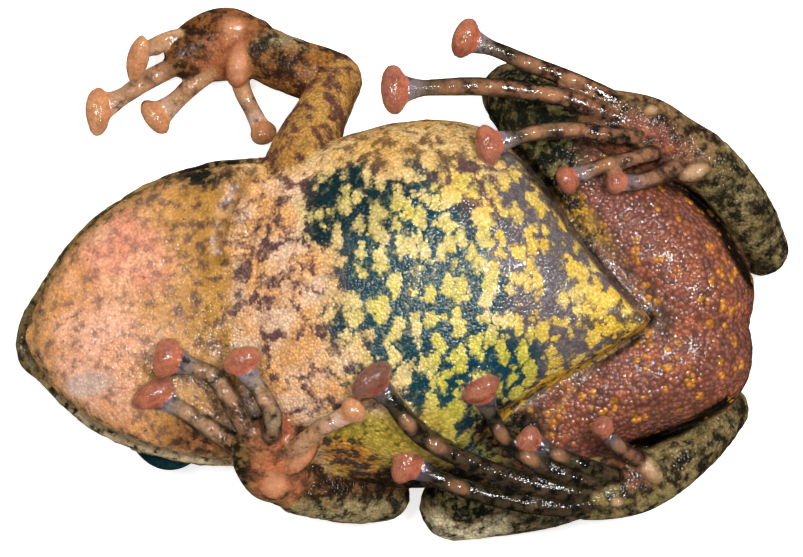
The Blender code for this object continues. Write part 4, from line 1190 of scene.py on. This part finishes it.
def skin_material():
    """Moist amphibian skin: thin, granular and slick with mucus, so each granule carries its own glint."""
    made, tree, shader = new_material("moist_granular_skin", IOR=1.12, Coat_Roughness=0.08, Coat_IOR=1.55)
    add = partial(add_node, tree)
    amounts = "bare soft small cells speck fleck grain coarse wet shut matt".split()
    amount = {name: add("Attribute", out="Fac", attribute_name=name) for name in amounts}
    tint = {name: add("Attribute", out="Color", attribute_name=name) for name in ("ground", "wash", "blotch")}
    mm = add("VectorMath", (add("TexCoord", out="Object"), (1 / MM,) * 3), **TIMES)

    # Small granules on the belly and large ones on the thighs.
    cell = {"Vector": mm, "Randomness": 0.95}
    fine, coarse = (add("TexVoronoi", {**cell, "Scale": 1 / apart}).node.outputs for apart in GRANULE_SPACING)
    fine_chance, coarse_chance = (add("SeparateColor", (each["Color"],)) for each in (fine, coarse))
    away = add("Mix", {0: amount["coarse"], 2: fine["Distance"], 3: coarse["Distance"]})
    chance = add("Mix", {0: amount["coarse"], 2: fine_chance, 3: coarse_chance})

    # Each granule is of one colour, so the pattern is looked up near the granule's centre.
    centre = add("Mix", {0: amount["coarse"], 4: fine["Position"], 5: coarse["Position"]}, 1, **PLACE)
    pull = add("Math", (amount["grain"], 0.8), **TIMES)
    bead = add("Mix", {0: pull, 4: mm, 5: centre}, 1, **PLACE)

    # The noises: where each is looked up, its size in mm, detail, roughness and distortion.
    noises = {
        "bend": (bead, 0.75, 3.0, 0.6, 0.0),
        "shore": (bead, 0.6, 2.0, 0.55, 0.0),
        "broad": (bead, 1.05, 2.5, 0.55, 0.5),
        "small": (bead, 0.62, 2.0, 0.6, 0.0),
        "fray": (mm, 0.16, 1.5, 0.7, 0.0),
        "tone": (mm, 2.4, 3.0, 0.6, 0.0),
        "thin": (mm, 0.5, 2.0, 0.55, 0.0),
        "speck": (mm, 0.34, 3.0, 0.75, 0.0),
        "wobble": (mm, 0.3, 1.0, 0.55, 0.0),
        "cloud": (mm, 0.8, 3.0, 0.7, 0.0),
        "film": (mm, 0.7, 2.0, 0.55, 0.0),
        "crease": (mm, 0.13, 2.0, 0.55, 0.0),
        "wave": (mm, 0.55, 1.0, 0.55, 0.0),
    }
    drift = {
        name: add(
            "TexNoise",
            {"Vector": where, "Scale": 1 / size, "Detail": detail, "Roughness": rough, "Distortion": warp},
        )
        for name, (where, size, detail, rough, warp) in noises.items()
    }

    # Blotches about 1 mm across, finer ones of 0.6 mm, or ragged islands about 1.1 mm apart.
    bent = add("VectorMath", (drift["bend"].node.outputs["Color"], (1.2,) * 3, bead), **TIMES_PLUS)
    longer = add("VectorMath", (bent, (1.4, 0.85, 1.0)), **TIMES)
    island = add("TexVoronoi", {"Vector": longer, "Scale": 1 / 1.08, "Randomness": 0.95}).node.outputs
    inland = add("Math", (island["Distance"], 0.8), **TIMES)
    islands = add("Math", (add("SeparateColor", (island["Color"],)), 0.16, inland), **TIMES_PLUS)
    islands = add("Math", (add("Math", (drift["shore"], 0.5), **LESS), 0.44, islands), **TIMES_PLUS)
    mottle = add("Mix", {0: amount["small"], 2: drift["broad"], 3: drift["small"]})
    pattern = add("Mix", {0: amount["cells"], 2: mottle, 3: islands})
    uneven = add("Math", (amount["grain"], 0.12), **TIMES)
    pattern = add("Math", (add("Math", (chance, 0.5), **LESS), uneven, pattern), **TIMES_PLUS)
    pattern = add("Math", (add("Math", (drift["fray"], 0.5), **LESS), 0.12, pattern), **TIMES_PLUS)
    over = add("Math", (pattern, amount["bare"]), **LESS)
    over = add("Math", (over, add("Mix", {0: amount["soft"], 2: 0.04, 3: 0.3})), operation="DIVIDE")
    blotched = add("MapRange", (over, -0.5, 0.5), **EASED)
    tone = add("MapRange", (drift["tone"], 0.38, 0.62), **EASED)
    colour = add("Mix", {0: tone, 6: tint["ground"], 7: tint["wash"]}, 2, **COLOUR)
    cover = add("Math", (blotched, add("MapRange", (drift["thin"], 0.2, 0.5, 0.72, 1.0), **EASED)), **TIMES)
    colour = add("Mix", {0: cover, 6: colour, 7: tint["blotch"]}, 2, **COLOUR)

    # Specks of dark pigment, 0.15 to 0.4 mm across.
    level = add("Math", (amount["speck"], -0.17, 0.7), **TIMES_PLUS)
    speck = add("MapRange", (add("Math", (drift["speck"], level), **LESS), 0.0, 0.06), **EASED)
    dark = add("Mix", {0: 0.82, 6: colour, 7: opaque("#2A2018")}, 2, **COLOUR)
    colour = add("Mix", {0: add("Math", (speck, 0.8), **TIMES), 6: colour, 7: dark}, 2, **COLOUR)

    # Orange dots 0.2 to 0.6 mm across, in most cells of 0.62 mm.
    dot = add("TexVoronoi", {"Vector": bead, "Scale": 1 / 0.62, "Randomness": 0.95}).node.outputs
    size = add("MapRange", (add("SeparateColor", (dot["Color"],)), 0.4, 1.0, 0.08, 0.56), **EASED)
    wobble = add("Math", (drift["wobble"], 0.3, dot["Distance"]), **TIMES_PLUS)
    dotted = add("MapRange", (add("Math", (wobble, size), **LESS), 0.14, 0.0), **EASED)
    dotted = add("Math", (add("Math", (dotted, amount["fleck"]), **TIMES), 0.9), **TIMES)
    colour = add("Mix", {0: dotted, 6: colour, 7: opaque("#D48C30")}, 2, **COLOUR)

    # Each granule is a little lighter or darker than the next, and the gaps between granules and the folds
    # are darkened as painted shade.
    gap_shade = add("MapRange", (away, 0.2, 0.75, 1.14, 0.5), **EASED)
    shade = add("Math", (add("MapRange", (chance, 0.0, 1.0, 0.8, 1.16), **EASED), gap_shade), **TIMES)
    shade = add("Mix", {0: amount["grain"], 2: 1.0, 3: shade})
    # Drifting clouds of tone, and painted shade that darkens a point deep in a fold.
    for source, low, high, at_low, at_high in (
        (drift["cloud"], 0.3, 0.7, 0.84, 1.14),
        (amount["shut"], 0.3, 0.95, 1.0, 0.15),
    ):
        shade = add("Math", (shade, add("MapRange", (source, low, high, at_low, at_high), **EASED)), **TIMES)
    grey = add("CombineColor", (shade, shade, shade))
    colour = add("Mix", {0: 1.0, 6: colour, 7: grey}, 2, blend_type="MULTIPLY", **COLOUR)
    film = add("MapRange", (drift["film"], 0.35, 0.65, 0.25, 0.45), **EASED)
    slick = add("Mix", {0: amount["wet"], 2: film, 3: 0.27})

    # Granules stand about 0.05 mm proud, with finer creasing over them and slow waves under them.
    proud = add("Mix", {0: amount["coarse"], 2: amount["grain"], 3: 1.4})
    height = add("Math", (add("MapRange", (away, 0.0, 0.75, 1.0, 0.0), **EASED), proud), **TIMES)
    for name, dry, wet in (("crease", 0.5, 0.12), ("wave", 1.0, 0.35)):
        deep = add("Mix", {0: amount["wet"], 2: dry, 3: wet})
        height = add("Math", (drift[name], deep, height), **TIMES_PLUS)
    bump = add("Bump", {"Strength": 1.0, "Distance": GRANULE_HEIGHT * MM, "Height": height})
    for key, socket in {
        "Base Color": colour,
        "Roughness": slick,
        "Normal": bump,
        "Coat Normal": bump,
        "Coat Weight": add("Math", (1.0, amount["matt"]), **LESS),
    }.items():
        tree.links.new(socket, shader.inputs[key])
    return made


def eye_material(side):
    """A wet eyeball: a dark teal iris with paler veins round a level black pupil."""
    made, tree, shader = new_material(
        "wet_eye_left" if side > 0 else "wet_eye_right", Roughness=0.3, IOR=1.06, Coat_Weight=0.1,
        Coat_Roughness=0.04,
    )
    add = partial(add_node, tree)
    shift = {"Location": tuple(-c for c in eye_place(side)), "Scale": (1 / MM,) * 3}
    local = add("Mapping", {"Vector": add("TexCoord", out="Object"), **shift}, vector_type="POINT")
    parts = add("SeparateXYZ", (local,)).node.outputs
    flat = add("CombineXYZ", (parts["X"], 0.0, parts["Z"]))
    ring = add("VectorMath", (flat,), "Value", operation="LENGTH")
    squashed = add("VectorMath", (flat, (0.62, 1.0, 1.25)), **TIMES)
    slot = add("VectorMath", (squashed,), "Value", operation="LENGTH")
    veins = add(
        "TexNoise", {"Vector": local, "Scale": 3.2, "Detail": 4.0, "Roughness": 0.7, "Distortion": 1.2}
    )
    colour = opaque("#0A2024")
    for source, low, high, tone in (
        (veins, 0.42, 0.58, opaque("#1E3E3E")),
        (ring, 1.3, 1.65, opaque("#06222C")),
        (slot, 0.62, 0.55, (0.002, 0.002, 0.002, 1.0)),
    ):
        share = add("MapRange", (source, low, high))
        colour = add("Mix", {0: share, 6: colour, 7: tone}, 2, **COLOUR)
    tree.links.new(colour, shader.inputs["Base Color"])
    return made


def make_eye(side):
    """An eyeball with a slightly fuller cornea."""
    word = "left" if side > 0 else "right"
    bm = bmesh.new()
    bmesh.ops.create_uvsphere(bm, u_segments=64, v_segments=40, radius=EYE_RADIUS)
    bm.transform(Matrix.Rotation(math.radians(90), 4, "X"))
    for vert in bm.verts:
        off_axis = math.hypot(vert.co.x, vert.co.z)
        if vert.co.y * side > 0:
            vert.co.y += side * 0.1 * max(0.0, 1 - (off_axis / 1.7) ** 2)
    bm.transform(Matrix.Translation(eye_place(side)))
    bm.transform(Matrix.Scale(MM, 4))
    mesh = bpy.data.meshes.new("eyeball_" + word)
    bm.to_mesh(mesh)
    bm.free()
    mesh.shade_smooth()
    mesh.materials.append(eye_material(side))
    made = put_in_scene("eyeball_" + word, mesh)
    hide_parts("eye_" + word)
    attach(made, "root")


def make_stage():
    """A plain white floor that glows a little, as a light table does, so shadows on it stay faint."""
    bm = bmesh.new()
    bmesh.ops.create_grid(bm, x_segments=2, y_segments=2, size=2.0)
    mesh = bpy.data.meshes.new("floor")
    bm.to_mesh(mesh)
    bm.free()
    white, _, _ = new_material(
        "light_table_white", Base_Color=(0.95, 0.95, 0.95, 1.0), Emission_Color=(1.0, 1.0, 1.0, 1.0),
        Emission_Strength=0.7, Roughness=0.9, Specular_IOR_Level=0.1,
    )
    mesh.materials.append(white)
    floor = put_in_scene("floor", mesh)
    floor.visible_glossy = False


def make_lights():
    """An even surround, one broad soft lamp, and two small bright ones, which alone show as glints."""
    world = bpy.data.worlds.new("surround")
    bpy.context.scene.world = world
    world.use_nodes = True
    surround = world.node_tree.nodes["Background"].inputs
    surround["Color"].default_value = (1.0, 1.0, 1.0, 1.0)
    surround["Strength"].default_value = 0.22
    world.cycles_visibility.glossy = False
    lamps = (
        # name, place in metres, diameter, share of the light on the floor
        ("broad", (0.04, 0.17, 0.42), 0.26, 0.38),
        ("glint_right", (0.15, 0.06, 0.43), 0.08, 0.58),
        ("glint_left", (-0.09, 0.015, 0.45), 0.06, 0.22),
    )
    for name, place, size, share in lamps:
        light = bpy.data.lights.new(name, "AREA")
        light.shape = "DISK"
        light.size = size
        light.energy = share * math.pi**2 * Vector(place).length ** 2
        lamp = put_in_scene(name, light)
        lamp.location = place
        lamp.visible_glossy = name != "broad"
        lamp.rotation_euler = (Vector((0, 0, 0.006)) - Vector(place)).to_track_quat("-Z", "Y").to_euler()


def make_camera():
    """Straight down on the belly through a long lens, with the photo's framing."""
    camera = bpy.data.cameras.new("camera")
    camera.lens = 600.0
    camera.sensor_width = 36.0
    camera.clip_start = 0.05
    camera.clip_end = 20.0
    distance = FRAME_WIDTH * PIXEL_MM * camera.lens / camera.sensor_width
    made = put_in_scene("camera", camera)
    made.location = (
        (FRAME_WIDTH / 2 - ORIGIN_PIXEL[0]) * PIXEL_MM * MM,
        (ORIGIN_PIXEL[1] - FRAME_HEIGHT / 2) * PIXEL_MM * MM,
        (distance + SIGHT_LEVEL) * MM,
    )
    bpy.context.scene.camera = made


def main():
    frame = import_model()
    bpy.context.scene.view_settings.view_transform = "Standard"
    make_camera()
    make_lights()
    make_stage()
    flesh, digits = make_flesh()
    skin = fused(flesh)
    regions = Regions(skin, flesh)
    sculpt(skin, regions)
    paint(skin, regions, digits, shelter(skin, regions))
    skin.data.shade_smooth()
    skin.data.materials.clear()
    skin.data.materials.append(skin_material())
    flesh_nodes = [name for name in frame["nodes"] if not name.startswith("eye_")]
    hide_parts(*flesh_nodes)
    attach(skin, "root")
    for side in (-1, 1):
        make_eye(side)


main()
